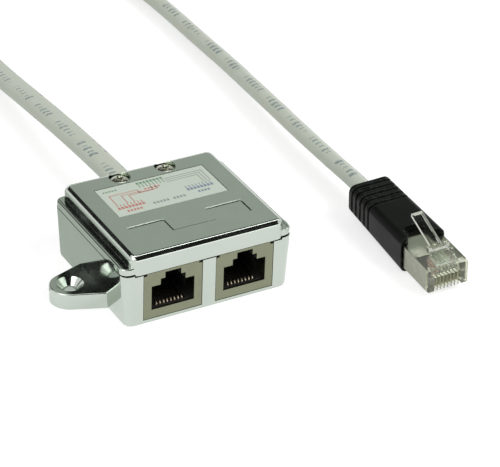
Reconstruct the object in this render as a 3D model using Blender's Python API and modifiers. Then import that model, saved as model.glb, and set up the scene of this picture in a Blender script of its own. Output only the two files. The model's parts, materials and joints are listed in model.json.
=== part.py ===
"""Network splitter box with a short captive cable.

A plated die-cast housing holds two shielded sockets under a circuit board. An oval cable leaves
its back wall, turns round and ends in a shielded plug with a rubber boot.

Metres, +Z up. The origin is the bottom centre of the housing, and the sockets face -Y.
"""

import math

import bmesh
import bpy
from mathutils import Matrix, Vector

MM = 0.001

# Clearances and roundness
SEAT_GAP = 0.3 * MM
FINE_GAP = 0.2 * MM
PAST = 1.0 * MM  # how far a cutter runs past the face that it opens
ROUND_SEGMENTS = 3
TURN_STEPS = 36

# Housing outside
HOUSING_WIDTH = 46.0 * MM
HOUSING_DEPTH = 40.4 * MM
HOUSING_HEIGHT = 20.0 * MM
SIDE_DRAFT = 0.065
CORNER_RADIUS = 2.2 * MM
FOOT_RADIUS = 0.5 * MM

# Base tray
WALL = 2.4 * MM
END_WALL = 2.0 * MM
FLOOR = 1.0 * MM
WINDOW_SILL = 1.15 * MM
WINDOW_WIDTH = 16.6 * MM
SOCKET_PITCH = 20.3 * MM
DIVIDER = 1.8 * MM
DIVIDER_LENGTH = 11.0 * MM
DIVIDER_DROP = 3.8 * MM

# Cover
LEDGE_DROP = 3.2 * MM
LEDGE_WIDTH = 2.4 * MM
LEDGE_RADIUS = 0.35 * MM
FLANGE_THICKNESS = 1.7 * MM
FLANGE_INSET = 0.4 * MM
SKIRT_DROP = 0.45 * MM
SKIRT_WIDTH = 41.0 * MM
SKIRT_THICKNESS = 1.6 * MM
COVER_THICKNESS = 1.5 * MM
COVER_EDGE_RADIUS = 1.5 * MM
RIM_GROOVE_INSET = 0.75 * MM
RIM_GROOVE_WIDTH = 0.3 * MM
RIM_GROOVE_DEPTH = 0.35 * MM
RIM_GROOVE_END = 1.5 * MM
LABEL_WIDTH = 31.0 * MM
LABEL_LENGTH = 14.4 * MM
LABEL_SCREW_GAP = 0.65 * MM
LABEL_THICKNESS = 0.15 * MM
LABEL_POCKET_DEPTH = 0.5 * MM
LABEL_MARGIN = 0.15 * MM
PANEL_WIDTH = 10.3 * MM
PANEL_LENGTH = 6.2 * MM
PANEL_DEPTH = 0.3 * MM
PANEL_SPACING = 22.1 * MM
LABEL_PANEL_GAP = 5.35 * MM
STEP_LINE_WIDTH = 0.2 * MM
STEP_LINE_DEPTH = 0.15 * MM

# Cover screws and the bosses that they clamp
SCREW_SPACING = 13.2 * MM
SCREW_INSET = 3.1 * MM
SCREW_HEAD_RADIUS = 2.6 * MM
SCREW_HEAD_HEIGHT = 1.4 * MM
SCREW_DOME_HEIGHT = 0.85 * MM
SCREW_DOME_STEPS = 6
SCREW_SHANK_RADIUS = 1.45 * MM
SCREW_LENGTH = 10.0 * MM
SCREW_TIP = 1.0 * MM
SCREW_CROSS_WIDTH = 0.7 * MM
SCREW_CROSS_LENGTH = 2.9 * MM
SCREW_CROSS_DEPTH = 0.8 * MM
SCREW_SEAT_DEPTH = 2.0 * MM
BOSS_MARGIN = 3.0 * MM
BOSS_DROP = 0.2 * MM
BOSS_LENGTH = 3.7 * MM

# Ears
EAR_HEIGHT = 4.4 * MM
EAR_REACH = 11.9 * MM
EAR_TIP_RADIUS = 5.3 * MM
EAR_Y = -1.3 * MM
EAR_ROOT_FRONT = -9.5 * MM
EAR_ROOT_BACK = 6.5 * MM
EAR_EDGE_RADIUS = 0.4 * MM
EAR_HOLE_RADIUS = 1.8 * MM
EAR_COUNTERSINK_RADIUS = 3.55 * MM

# Sockets
SOCKET_RECESS = 0.4 * MM
SOCKET_DEPTH = 18.0 * MM
SHEET = 0.3 * MM
OPENING_LIFT = 2.25 * MM
OPENING_WIDTH = 11.95 * MM
OPENING_DROP = 1.7 * MM
STEP_WIDTH = 6.9 * MM
STEP_DROP = 1.65 * MM
KEYWAY_WIDTH = 4.4 * MM
KEYWAY_ROOF = 0.5 * MM
OPENING_DEPTH = 12.0 * MM
KEYWAY_DEPTH = 9.0 * MM
TAB_LENGTH = 4.6 * MM
TAB_LOW = 0.5 * MM
TAB_DROP = 1.4 * MM
FACE_GAP = 0.12 * MM
FACE_NOTCH_WIDTH = 0.95 * MM
FACE_NOTCH_HEIGHT = 0.6 * MM
CONTACT_COUNT = 8
CONTACT_PITCH = 1.02 * MM
CONTACT_RADIUS = 0.2 * MM
CONTACT_LENGTH = 8.0 * MM
CONTACT_RISE = 2.8 * MM
CONTACT_LEG = 0.55 * MM
CONTACT_BEND = 0.7 * MM
CONTACT_BEND_TURNS = (1.0, 0.88, 0.76, 0.64)
CONTACT_SAG = (0.85, 0.91)
CONTACT_INSET = 1.0 * MM
CONTACT_BED = 1.1 * MM
CONTACT_BED_MARGIN = 0.6 * MM

# Circuit board
BOARD_THICKNESS = 1.6 * MM
BOARD_MARGIN = 1.2 * MM
BOARD_FRONT_MARGIN = 0.5 * MM
BOARD_BACK_MARGIN = 3.7 * MM

# Cable
CABLE_WIDTH = 7.1 * MM
CABLE_THICKNESS = 4.4 * MM
CABLE_EXIT_LIFT = 0.5 * MM
CABLE_POINT_SPACING = 8.8 * MM
CABLE_TWIST = math.radians(-38)
CABLE_TWIST_SPAN = (0.12, 0.24)
CABLE_SECTION_STEPS = 6
CABLE_RUN_OUT = [  # how far past the back wall, and how far under the exit's height
    (-0.0062, 0.0000),
    (-0.0002, 0.0000),
    (0.0098, 0.0000),
    (0.0248, 0.0004),
    (0.0448, 0.0016),
    (0.0668, 0.0035),
    (0.0878, 0.0054),
]
CABLE_RETURN = [
    (0.0005, 0.1280, 0.0038),
    (0.0014, 0.1440, 0.0031),
    (0.0054, 0.1590, 0.0029),
    (0.0128, 0.1710, 0.0030),
    (0.0232, 0.1782, 0.0031),
    (0.0350, 0.1802, 0.0032),
    (0.0464, 0.1768, 0.0033),
    (0.0556, 0.1690, 0.0034),
    (0.0616, 0.1580, 0.0034),
    (0.0644, 0.1440, 0.0034),
    (0.0650, 0.1280, 0.0035),
    (0.0646, 0.1080, 0.0038),
    (0.0640, 0.0860, 0.0044),
    (0.0630, 0.0700, 0.0050),
    (0.0620, 0.0560, 0.0057),
    (0.0610, 0.0400, 0.0062),
    (0.0604, 0.0220, 0.0065),
    (0.0601, 0.0090, 0.0068),
    (0.0598, 0.0016, 0.0068),
    (0.0594, -0.0050, 0.0067),
    (0.0591, -0.0120, 0.0066),
    (0.0588, -0.0172, 0.0065),
]
WIRE_RADIUS = 0.38 * MM
BOARD_WIRE_COLUMNS = 4
BOARD_WIRE_PITCH = 1.15 * MM
BOARD_WIRE_ROW = 1.2 * MM
BOARD_WIRE_REACH = 3.5 * MM
BOARD_WIRE_BEND = 1.4 * MM
BOARD_WIRE_FAN = 2.0

# Plug: its own frame starts at the bottom centre of the nose, +Y runs back along it
PLUG_PLACE = (57.8 * MM, -41.9 * MM, 2.05 * MM)
PLUG_TURN = (math.radians(1.4), math.radians(-3.7), math.radians(-3.0))
PLUG_WIDTH = 11.7 * MM
PLUG_HEIGHT = 6.5 * MM
PLUG_LENGTH = 21.5 * MM
PLUG_EDGE = 0.35 * MM
PLUG_NOSE = 1.0 * MM
PLUG_WINDOW = 6.8 * MM
PLUG_SHIELD_END = 1.7 * MM
PLUG_FLOOR = 1.1 * MM
WIRE_BED_HEIGHT = 3.9 * MM
WIRE_BED_START = 2.2 * MM
CABLE_BED_START = 9.0 * MM
CABLE_BED_WIDTH = 9.0 * MM
PLUG_ROOF = 1.1 * MM
BLADE_WIDTH = 0.35 * MM
BLADE_LENGTH = 3.3 * MM
BLADE_HEIGHT = 3.3 * MM
BLADE_LIFT = 0.4 * MM
BLADE_INSET = 1.2 * MM
PLUG_WIRE_RADIUS = 0.45 * MM
PLUG_WIRE_START = 2.7 * MM
PLUG_WIRE_SPREAD = 0.6

# Latch lever on the plug, as heights over the plug's frame
LATCH_ROOT_Y = 1.3 * MM
LATCH_WIDTH = 6.0 * MM
LATCH_HANDLE_WIDTH = 3.25 * MM
LATCH_THICKNESS = 0.8 * MM
LATCH_SHOULDER = (5.6 * MM, 8.95 * MM)
LATCH_TIP = (16.9 * MM, 13.0 * MM)
LATCH_SHOULDER_BACK = 0.6 * MM
LATCH_GROOVE_DEPTH = 0.35 * MM
LATCH_GROOVE_WALL = 0.55 * MM
LATCH_BAR_LENGTH = 0.6 * MM
LATCH_BAR_HEIGHT = 0.45 * MM
LATCH_NUB_WIDTH = 0.9 * MM
LATCH_NUB_HEIGHT = 0.95 * MM

# Boot, in the plug's frame
BOOT_FRONT = 13.4 * MM
BOOT_REAR = 43.6 * MM
BOOT_WIDTHS = (12.9 * MM, 12.4 * MM)
BOOT_BOTTOMS = (-1.9 * MM, -0.4 * MM)
BOOT_TOPS = (8.6 * MM, 8.1 * MM)
BOOT_CORNER = 2.0 * MM
BOOT_CORNER_STEPS = 4
BOOT_RIBS = 5
BOOT_RIB_PITCH = 2.3 * MM
BOOT_RIB_WIDTH = 1.2 * MM
BOOT_RIB_DEPTH = 0.65 * MM
BOOT_TAIL = 1.3 * MM
BOOT_TAIL_SHRINK = 1.2 * MM
BOOT_SLOT_WIDTH = 7.2 * MM
BOOT_SLOT_LENGTH = 5.0 * MM
BOOT_SLOT_CORNER = 1.6 * MM
BOOT_CHEEK_RADIUS = 1.6 * MM
BOOT_CHEEK_STEPS = 5
BOOT_THROAT = 3.0 * MM

# Heights and places that follow from the sizes above
FRONT_Y = -HOUSING_DEPTH / 2
BACK_Y = HOUSING_DEPTH / 2
LEDGE_Z = HOUSING_HEIGHT - LEDGE_DROP
FLANGE_Z = LEDGE_Z - FLANGE_THICKNESS
BASE_TOP = FLANGE_Z - SEAT_GAP
DIVIDER_HEIGHT = BASE_TOP - DIVIDER_DROP
SKIRT_Z = FLANGE_Z - SKIRT_DROP
INNER_HALF_WIDTH = HOUSING_WIDTH / 2 - WALL
INNER_FRONT = FRONT_Y + END_WALL
INNER_BACK = BACK_Y - END_WALL
SOCKET_WIDTH = WINDOW_WIDTH - 2 * SEAT_GAP
SOCKET_LOW = WINDOW_SILL + SEAT_GAP
SOCKET_HIGH = SKIRT_Z - SEAT_GAP
SOCKET_FRONT = FRONT_Y + SOCKET_RECESS
SOCKET_BACK = SOCKET_FRONT + SOCKET_DEPTH
OPENING_Z = SOCKET_LOW + OPENING_LIFT
KEYWAY_HEIGHT = SOCKET_HIGH - KEYWAY_ROOF - OPENING_Z
STEP_HEIGHT = KEYWAY_HEIGHT - STEP_DROP
OPENING_HEIGHT = STEP_HEIGHT - OPENING_DROP
TAB_HIGH = OPENING_HEIGHT - TAB_DROP
SOCKET_BODY_FRONT = SOCKET_FRONT + SHEET + SEAT_GAP
SOCKET_BODY_BACK = SOCKET_BACK - SHEET - SEAT_GAP
BOARD_Z = SOCKET_HIGH + SEAT_GAP
SCREW_Y = BACK_Y - SCREW_INSET
SCREW_SEAT_Z = HOUSING_HEIGHT - SCREW_SEAT_DEPTH
LABEL_Y = SCREW_Y - SCREW_HEAD_RADIUS - SEAT_GAP - LABEL_SCREW_GAP - LABEL_LENGTH / 2
PANEL_Y = LABEL_Y - LABEL_LENGTH / 2 - LABEL_PANEL_GAP - PANEL_LENGTH / 2
CONTACT_ROOT_Y = SOCKET_BODY_FRONT + CONTACT_INSET
CONTACT_ROOT_Z = OPENING_Z - CONTACT_BED + SEAT_GAP
CABLE_EXIT_HEIGHT = HOUSING_HEIGHT / 2 + CABLE_EXIT_LIFT
CABLE_ROUTE = [(0.0, BACK_Y + past, CABLE_EXIT_HEIGHT - drop) for past, drop in CABLE_RUN_OUT] + CABLE_RETURN
CABLE_START_Y = CABLE_ROUTE[0][1]
LATCH_ROOT_Z = PLUG_HEIGHT + SEAT_GAP


# Scene and materials

def clear_scene():
    for item in list(bpy.data.objects):
        bpy.data.objects.remove(item)


def new_collection(name):
    made = bpy.data.collections.new(name)
    bpy.context.scene.collection.children.link(made)
    return made


def new_material(name, colour, roughness, metallic=0.0, transmission=0.0):
    made = bpy.data.materials.new(name)
    made.use_nodes = True
    shader = made.node_tree.nodes["Principled BSDF"]
    shader.inputs["Base Color"].default_value = (*colour, 1.0)
    shader.inputs["Roughness"].default_value = roughness
    shader.inputs["Metallic"].default_value = metallic
    shader.inputs["Transmission Weight"].default_value = transmission
    made.diffuse_color = (*colour, 1.0)
    return made


clear_scene()
PARTS = new_collection("ethernet_t_adapter")
CUTTERS = new_collection("cutters")
PLATED = new_material("plated_casting", (0.72, 0.76, 0.74), 0.12, metallic=1.0)
STEEL = new_material("screw_steel", (0.45, 0.45, 0.42), 0.3, metallic=1.0)
FOIL = new_material("label_foil", (0.60, 0.64, 0.59), 0.45)
BOARD = new_material("circuit_board", (0.03, 0.16, 0.07), 0.5)
TINNED = new_material("tinned_sheet", (0.50, 0.50, 0.42), 0.35, metallic=0.9)
BLACK = new_material("black_moulding", (0.02, 0.02, 0.02), 0.5)
GOLD = new_material("gold_contact", (0.80, 0.60, 0.30), 0.25, metallic=1.0)
JACKET = new_material("cable_jacket", (0.55, 0.57, 0.47), 0.55)
RUBBER = new_material("boot_rubber", (0.015, 0.018, 0.015), 0.6)
CLEAR = new_material("clear_moulding", (0.85, 0.88, 0.82), 0.08, transmission=0.9)
CORE = new_material("core_insulation", (0.70, 0.45, 0.30), 0.5)


# Modelling helpers

def add_part(name, mesh, material, parent=None, origin=(0, 0, 0)):
    """A visible piece whose mesh is drawn round its own origin."""
    mesh.materials.clear()
    mesh.materials.append(material)
    mesh.shade_smooth()
    mesh.set_sharp_from_angle(angle=math.radians(35))
    made = bpy.data.objects.new(name, mesh)
    made.location = origin
    made.parent = parent
    PARTS.objects.link(made)
    return made


def add_tool(name, mesh, parent=None):
    """A helper that a Boolean joins to a piece or cuts from it."""
    made = bpy.data.objects.new(name, mesh)
    made.parent = parent
    made.hide_render = True
    made.display_type = "WIRE"
    CUTTERS.objects.link(made)
    return made


def combine(target, tool, operation):
    boolean = target.modifiers.new(tool.name, "BOOLEAN")
    boolean.operation = operation
    boolean.object = tool
    boolean.solver = "EXACT"


def cut(target, name, mesh, parent=None):
    combine(target, add_tool(name, mesh, parent), "DIFFERENCE")


def join(target, name, mesh, parent=None):
    combine(target, add_tool(name, mesh, parent), "UNION")


def mesh_from(shape, name):
    made = bpy.data.meshes.new(name)
    bmesh.ops.recalc_face_normals(shape, faces=shape.faces)
    shape.to_mesh(made)
    shape.free()
    return made


def round_edges(shape, edges, radius):
    bmesh.ops.bevel(
        shape, geom=edges, offset=radius, offset_type="OFFSET",
        segments=ROUND_SEGMENTS, profile=0.5, affect="EDGES", clamp_overlap=True,
    )


def is_upright(edge):
    run = edge.verts[0].co - edge.verts[1].co
    return abs(run.z) > abs(run.x) + abs(run.y)


def box_mesh(low, high, corner=0.0, top=0.0, bottom=0.0, draft=0.0):
    """A box with rounded upright corners and rims. Draft widens it in X with height."""
    low = Vector(low)
    high = Vector(high)
    height = high.z - low.z
    shape = bmesh.new()
    bmesh.ops.create_cube(shape, size=1.0)
    bmesh.ops.scale(shape, vec=high - low, verts=shape.verts)
    bmesh.ops.translate(shape, vec=(low + high) / 2, verts=shape.verts)
    for vertex in shape.verts:
        if vertex.co.z > low.z + height / 2:
            vertex.co.x += math.copysign(draft * height, vertex.co.x)
    if corner:
        round_edges(shape, [edge for edge in shape.edges if is_upright(edge)], corner)
    for level, radius in ((high.z, top), (low.z, bottom)):
        if radius:
            rim = [edge for edge in shape.edges if all(abs(v.co.z - level) < 1e-7 for v in edge.verts)]
            round_edges(shape, rim, radius)
    return mesh_from(shape, "box")


def centred_box(width, front, back, low, high, **rounding):
    """A box that is symmetric about X = 0."""
    return box_mesh((-width / 2, front, low), (width / 2, back, high), **rounding)


def turned_mesh(profile, place):
    """A solid turned round a vertical axis at place, from (radius, height) pairs, top to bottom."""
    outline = bpy.data.meshes.new("profile")
    points = [(radius, 0.0, height) for radius, height in profile]
    outline.from_pydata(points, [(i, i + 1) for i in range(len(points) - 1)], [])
    lathe = bpy.data.objects.new("lathe", outline)
    CUTTERS.objects.link(lathe)
    screw = lathe.modifiers.new("turn", "SCREW")
    screw.steps = TURN_STEPS
    screw.render_steps = TURN_STEPS
    screw.use_merge_vertices = True
    screw.merge_threshold = 1e-5
    made = evaluated_mesh(lathe)
    made.transform(Matrix.Translation(place) @ Matrix.Rotation(math.pi / TURN_STEPS, 4, "Z"))
    return made


def evaluated_mesh(source):
    """The mesh of an object with its modifiers, which replaces the object."""
    bpy.context.view_layer.update()
    graph = bpy.context.evaluated_depsgraph_get()
    made = bpy.data.meshes.new_from_object(source.evaluated_get(graph))
    bpy.data.objects.remove(source)
    shape = bmesh.new()
    shape.from_mesh(made)
    bmesh.ops.remove_doubles(shape, verts=shape.verts, dist=1e-7)
    bmesh.ops.recalc_face_normals(shape, faces=shape.faces)
    shape.to_mesh(made)
    shape.free()
    return made


def outline_mesh(points, low, high, edge_radius=0.0):
    """A plate between two heights, from an outline in the XY plane."""
    flat = bpy.data.curves.new("outline", "CURVE")
    flat.dimensions = "2D"
    flat.fill_mode = "BOTH"
    flat.extrude = (high - low) / 2
    spline = flat.splines.new("POLY")
    spline.points.add(len(points) - 1)
    for point, (x, y) in zip(spline.points, points):
        point.co = (x, y, 0.0, 1.0)
    spline.use_cyclic_u = True
    plate = bpy.data.objects.new("outline", flat)
    CUTTERS.objects.link(plate)
    made = evaluated_mesh(plate)
    made.transform(Matrix.Translation((0, 0, (low + high) / 2)))
    if edge_radius:
        shape = bmesh.new()
        shape.from_mesh(made)
        rim = [edge for edge in shape.edges if all(abs(v.co.z - high) < 1e-7 for v in edge.verts)]
        round_edges(shape, [edge for edge in rim if len({f.normal.z > 0.5 for f in edge.link_faces}) == 2],
                    edge_radius)
        shape.to_mesh(made)
        shape.free()
    return made


def side_profile_mesh(points, width):
    """A solid of the given width along X, from an outline of (y, z) pairs."""
    made = outline_mesh(points, -width / 2, width / 2)
    made.transform(Matrix(((0, 0, 1, 0), (1, 0, 0, 0), (0, 1, 0, 0), (0, 0, 0, 1))))
    return made


def loft_mesh(rings):
    """A closed skin over rings that have the same number of points."""
    shape = bmesh.new()
    rows = [[shape.verts.new(point) for point in ring] for ring in rings]
    count = len(rows[0])
    for first, second in zip(rows, rows[1:]):
        for i in range(count):
            j = (i + 1) % count
            shape.faces.new((first[i], first[j], second[j], second[i]))
    shape.faces.new(rows[0])
    shape.faces.new(rows[-1])
    return mesh_from(shape, "loft")


def tube_curve(points, radius):
    """A round wire through the given points, with filled ends."""
    wire = bpy.data.curves.new("wire", "CURVE")
    wire.dimensions = "3D"
    wire.bevel_depth = radius
    wire.bevel_resolution = 1
    wire.use_fill_caps = True
    spline = wire.splines.new("POLY")
    spline.points.add(len(points) - 1)
    for point, place in zip(spline.points, points):
        point.co = (*place, 1.0)
    return wire


def add_wire(name, points, radius, material, parent=None, origin=(0, 0, 0)):
    wire = tube_curve(points, radius)
    wire.materials.append(material)
    made = bpy.data.objects.new(name, wire)
    made.location = origin
    made.parent = parent
    PARTS.objects.link(made)
    return made


def arc_points(centre, radius, start, end, steps):
    return [
        (centre[0] + radius * math.cos(start + (end - start) * i / steps),
         centre[1] + radius * math.sin(start + (end - start) * i / steps))
        for i in range(steps + 1)
    ]


# Housing

def half_width(height):
    """Half the housing's outer width at a height, on its drafted sides."""
    return HOUSING_WIDTH / 2 + SIDE_DRAFT * height


def ear_outline(side):
    """Straight sides from the wall, tangent to the round tip. One ear is the other turned half round."""
    centre = Vector((HOUSING_WIDTH / 2 + EAR_REACH - EAR_TIP_RADIUS, EAR_Y))
    root_x = INNER_HALF_WIDTH + WALL / 2
    wall_x = HOUSING_WIDTH / 2

    def tangent_angle(root_y, turn):
        away = Vector((wall_x, root_y)) - centre
        return math.atan2(away.y, away.x) + turn * math.acos(EAR_TIP_RADIUS / away.length)

    front = tangent_angle(EAR_ROOT_FRONT, 1)
    back = tangent_angle(EAR_ROOT_BACK, -1) - 2 * math.pi * (EAR_ROOT_BACK < EAR_Y)
    front -= 2 * math.pi * (front > back)
    tip = arc_points(centre, EAR_TIP_RADIUS, front, back, TURN_STEPS // 2)
    outline = [(root_x, EAR_ROOT_FRONT), (wall_x, EAR_ROOT_FRONT), *tip,
               (wall_x, EAR_ROOT_BACK), (root_x, EAR_ROOT_BACK)]
    return [(side * x, -side * y) for x, y in outline]


def ear_hole_mesh(side):
    sink = EAR_COUNTERSINK_RADIUS - EAR_HOLE_RADIUS
    profile = [
        (0.0, EAR_HEIGHT + PAST),
        (EAR_COUNTERSINK_RADIUS + PAST, EAR_HEIGHT + PAST),
        (EAR_HOLE_RADIUS, EAR_HEIGHT - sink),
        (EAR_HOLE_RADIUS, -PAST),
        (0.0, -PAST),
    ]
    centre = side * (HOUSING_WIDTH / 2 + EAR_REACH - EAR_TIP_RADIUS)
    return turned_mesh(profile, (centre, -side * EAR_Y, 0.0))


def screw_hole_mesh(side):
    """Seat for the head, then a clearance hole down into the base's boss."""
    hole = SCREW_SHANK_RADIUS + SEAT_GAP
    bottom = SCREW_SEAT_Z - SCREW_LENGTH
    profile = [
        (0.0, HOUSING_HEIGHT + PAST),
        (SCREW_HEAD_RADIUS + SEAT_GAP, HOUSING_HEIGHT + PAST),
        (SCREW_HEAD_RADIUS + SEAT_GAP, SCREW_SEAT_Z),
        (hole, SCREW_SEAT_Z),
        (hole, bottom),
        (0.0, bottom),
    ]
    return turned_mesh(profile, (side * SCREW_SPACING / 2, SCREW_Y, 0.0))


def boss_mesh(low, high):
    """The block round both screws, just inside the back wall."""
    return centred_box(SCREW_SPACING + 2 * BOSS_MARGIN, INNER_BACK - BOSS_LENGTH,
                       INNER_BACK + END_WALL / 2, low, high)


def add_base():
    base = add_part("base_housing", centred_box(
        HOUSING_WIDTH, FRONT_Y, BACK_Y, 0.0, BASE_TOP,
        corner=CORNER_RADIUS, bottom=FOOT_RADIUS, draft=SIDE_DRAFT), PLATED)
    cut(base, "base_hollow", box_mesh(
        (-INNER_HALF_WIDTH, INNER_FRONT, FLOOR), (INNER_HALF_WIDTH, INNER_BACK, BASE_TOP + PAST),
        corner=CORNER_RADIUS / 2))
    join(base, "base_boss", boss_mesh(FLOOR / 2, BASE_TOP - BOSS_DROP))
    join(base, "base_divider", centred_box(
        DIVIDER, INNER_FRONT - END_WALL / 2, INNER_FRONT + DIVIDER_LENGTH, FLOOR / 2, DIVIDER_HEIGHT))
    cut(base, "skirt_notch", centred_box(
        SKIRT_WIDTH + 2 * SEAT_GAP, FRONT_Y - PAST, INNER_FRONT + PAST,
        SKIRT_Z - SEAT_GAP, BASE_TOP + PAST))
    for side, word in ((-1, "left"), (1, "right")):
        middle = side * SOCKET_PITCH / 2
        cut(base, f"window_{word}", box_mesh(
            (middle - WINDOW_WIDTH / 2, FRONT_Y - PAST, WINDOW_SILL),
            (middle + WINDOW_WIDTH / 2, INNER_FRONT + PAST, BASE_TOP + PAST)))
        cut(base, f"base_screw_hole_{word}", screw_hole_mesh(side))
    cut(base, "cable_slot", centred_box(
        CABLE_WIDTH + 2 * SEAT_GAP, INNER_BACK - BOSS_LENGTH - PAST, BACK_Y + PAST,
        CABLE_EXIT_HEIGHT, BASE_TOP + PAST))
    for side, word in ((-1, "left"), (1, "right")):
        ear = add_tool(f"ear_{word}", outline_mesh(ear_outline(side), 0.0, EAR_HEIGHT, EAR_EDGE_RADIUS))
        cut(ear, f"ear_hole_{word}", ear_hole_mesh(side))
        combine(base, ear, "UNION")
    return base


def add_cover():
    cover = add_part("cover", centred_box(
        2 * (half_width(LEDGE_Z) - LEDGE_WIDTH), FRONT_Y, BACK_Y, SKIRT_Z, HOUSING_HEIGHT,
        corner=CORNER_RADIUS, top=COVER_EDGE_RADIUS), PLATED)
    join(cover, "flange", centred_box(
        2 * half_width(SKIRT_Z), FRONT_Y + FLANGE_INSET, BACK_Y - FLANGE_INSET, SKIRT_Z - SEAT_GAP, LEDGE_Z,
        corner=CORNER_RADIUS, top=LEDGE_RADIUS, draft=SIDE_DRAFT))
    cut(cover, "under_flange", box_mesh(
        (-HOUSING_WIDTH, FRONT_Y + SKIRT_THICKNESS, SKIRT_Z - PAST), (HOUSING_WIDTH, BACK_Y + PAST, FLANGE_Z)))
    for side, word in ((-1, "left"), (1, "right")):
        edges = sorted((side * SKIRT_WIDTH / 2, side * HOUSING_WIDTH))
        cut(cover, f"beside_skirt_{word}", box_mesh(
            (edges[0], FRONT_Y - PAST, SKIRT_Z - PAST), (edges[1], INNER_FRONT + PAST, FLANGE_Z)))
    cut(cover, "below_skirt", centred_box(
        2 * HOUSING_WIDTH, FRONT_Y - PAST, BACK_Y + PAST, SKIRT_Z - 2 * PAST, SKIRT_Z))
    cut(cover, "cover_hollow", box_mesh(
        (-INNER_HALF_WIDTH, FRONT_Y + SKIRT_THICKNESS, SKIRT_Z - PAST),
        (INNER_HALF_WIDTH, INNER_BACK, HOUSING_HEIGHT - COVER_THICKNESS), corner=CORNER_RADIUS / 2))
    join(cover, "cover_boss", boss_mesh(
        BASE_TOP - BOSS_DROP + SEAT_GAP, HOUSING_HEIGHT - COVER_THICKNESS / 2))
    join(cover, "cable_tongue", centred_box(
        CABLE_WIDTH, INNER_BACK - BOSS_LENGTH + SEAT_GAP, BACK_Y - FLANGE_INSET,
        CABLE_EXIT_HEIGHT + CABLE_THICKNESS / 4, LEDGE_Z - LEDGE_RADIUS))
    cut(cover, "label_pocket", box_mesh(
        (-LABEL_WIDTH / 2 - LABEL_MARGIN, LABEL_Y - LABEL_LENGTH / 2 - LABEL_MARGIN,
         HOUSING_HEIGHT - LABEL_POCKET_DEPTH),
        (LABEL_WIDTH / 2 + LABEL_MARGIN, LABEL_Y + LABEL_LENGTH / 2 + LABEL_MARGIN, HOUSING_HEIGHT + PAST)))
    cut(cover, "step_line", box_mesh(
        (-PANEL_SPACING / 2, PANEL_Y - PANEL_LENGTH / 2, HOUSING_HEIGHT - STEP_LINE_DEPTH),
        (PANEL_SPACING / 2, PANEL_Y - PANEL_LENGTH / 2 + STEP_LINE_WIDTH, HOUSING_HEIGHT + PAST)))
    for side, word in ((-1, "left"), (1, "right")):
        outer = half_width(LEDGE_Z) - RIM_GROOVE_INSET
        edges = sorted((side * outer, side * (outer - RIM_GROOVE_WIDTH)))
        cut(cover, f"rim_groove_{word}", box_mesh(
            (edges[0], FRONT_Y + RIM_GROOVE_END, LEDGE_Z - RIM_GROOVE_DEPTH),
            (edges[1], BACK_Y - RIM_GROOVE_END, LEDGE_Z + PAST)))
        middle = side * PANEL_SPACING / 2
        cut(cover, f"panel_{word}", box_mesh(
            (middle - PANEL_WIDTH / 2, PANEL_Y - PANEL_LENGTH / 2, HOUSING_HEIGHT - PANEL_DEPTH),
            (middle + PANEL_WIDTH / 2, PANEL_Y + PANEL_LENGTH / 2, HOUSING_HEIGHT + PAST)))
        cut(cover, f"cover_screw_hole_{word}", screw_hole_mesh(side))
    return cover


def add_cover_screw(side, word):
    """A pan head with a cross recess, on a plain shank."""
    head_low = SCREW_SEAT_Z + SEAT_GAP
    head_high = head_low + SCREW_HEAD_HEIGHT
    tip = head_low - SCREW_LENGTH + SEAT_GAP
    turns = [math.pi / 2 * i / SCREW_DOME_STEPS for i in range(SCREW_DOME_STEPS + 1)]
    dome = [
        (SCREW_HEAD_RADIUS * math.sin(turn), head_high - SCREW_DOME_HEIGHT * (1 - math.cos(turn)))
        for turn in turns
    ]
    profile = [
        *dome,
        (SCREW_HEAD_RADIUS, head_low),
        (SCREW_SHANK_RADIUS, head_low),
        (SCREW_SHANK_RADIUS, tip + SCREW_TIP),
        (0.0, tip),
    ]
    origin = (side * SCREW_SPACING / 2, SCREW_Y, 0.0)
    screw = add_part(f"cover_screw_{word}", turned_mesh(profile, (0, 0, 0)), STEEL, origin=origin)
    for name, length, width in (("along", SCREW_CROSS_LENGTH, SCREW_CROSS_WIDTH),
                                ("across", SCREW_CROSS_WIDTH, SCREW_CROSS_LENGTH)):
        slot = box_mesh((-length / 2, -width / 2, head_high - SCREW_CROSS_DEPTH),
                        (length / 2, width / 2, head_high + PAST))
        slot.transform(Matrix.Translation(origin))
        cut(screw, f"cross_{name}_{word}", slot)
    return screw


def add_label():
    low = HOUSING_HEIGHT - LABEL_POCKET_DEPTH + SEAT_GAP
    return add_part("label", centred_box(
        LABEL_WIDTH, LABEL_Y - LABEL_LENGTH / 2, LABEL_Y + LABEL_LENGTH / 2,
        low, low + LABEL_THICKNESS), FOIL)


def add_board():
    half = INNER_HALF_WIDTH - BOARD_MARGIN
    back = INNER_BACK - BOSS_LENGTH - BOARD_BACK_MARGIN
    return add_part("circuit_board", box_mesh(
        (-half, INNER_FRONT + BOARD_FRONT_MARGIN, BOARD_Z), (half, back, BOARD_Z + BOARD_THICKNESS)), BOARD)


# Sockets

def socket_opening(target, middle, front, depth_limit):
    """Cuts the plug's opening: the main hollow, its step and the latch's keyway."""
    for name, width, height, depth in (
        ("main", OPENING_WIDTH, OPENING_HEIGHT, OPENING_DEPTH),
        ("step", STEP_WIDTH, STEP_HEIGHT, OPENING_DEPTH - PAST),
        ("keyway", KEYWAY_WIDTH, KEYWAY_HEIGHT, KEYWAY_DEPTH),
    ):
        back = front + min(depth, depth_limit)
        cut(target, f"{target.name}_{name}", box_mesh(
            (middle - width / 2, front - PAST, OPENING_Z),
            (middle + width / 2, back, OPENING_Z + height)))


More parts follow.
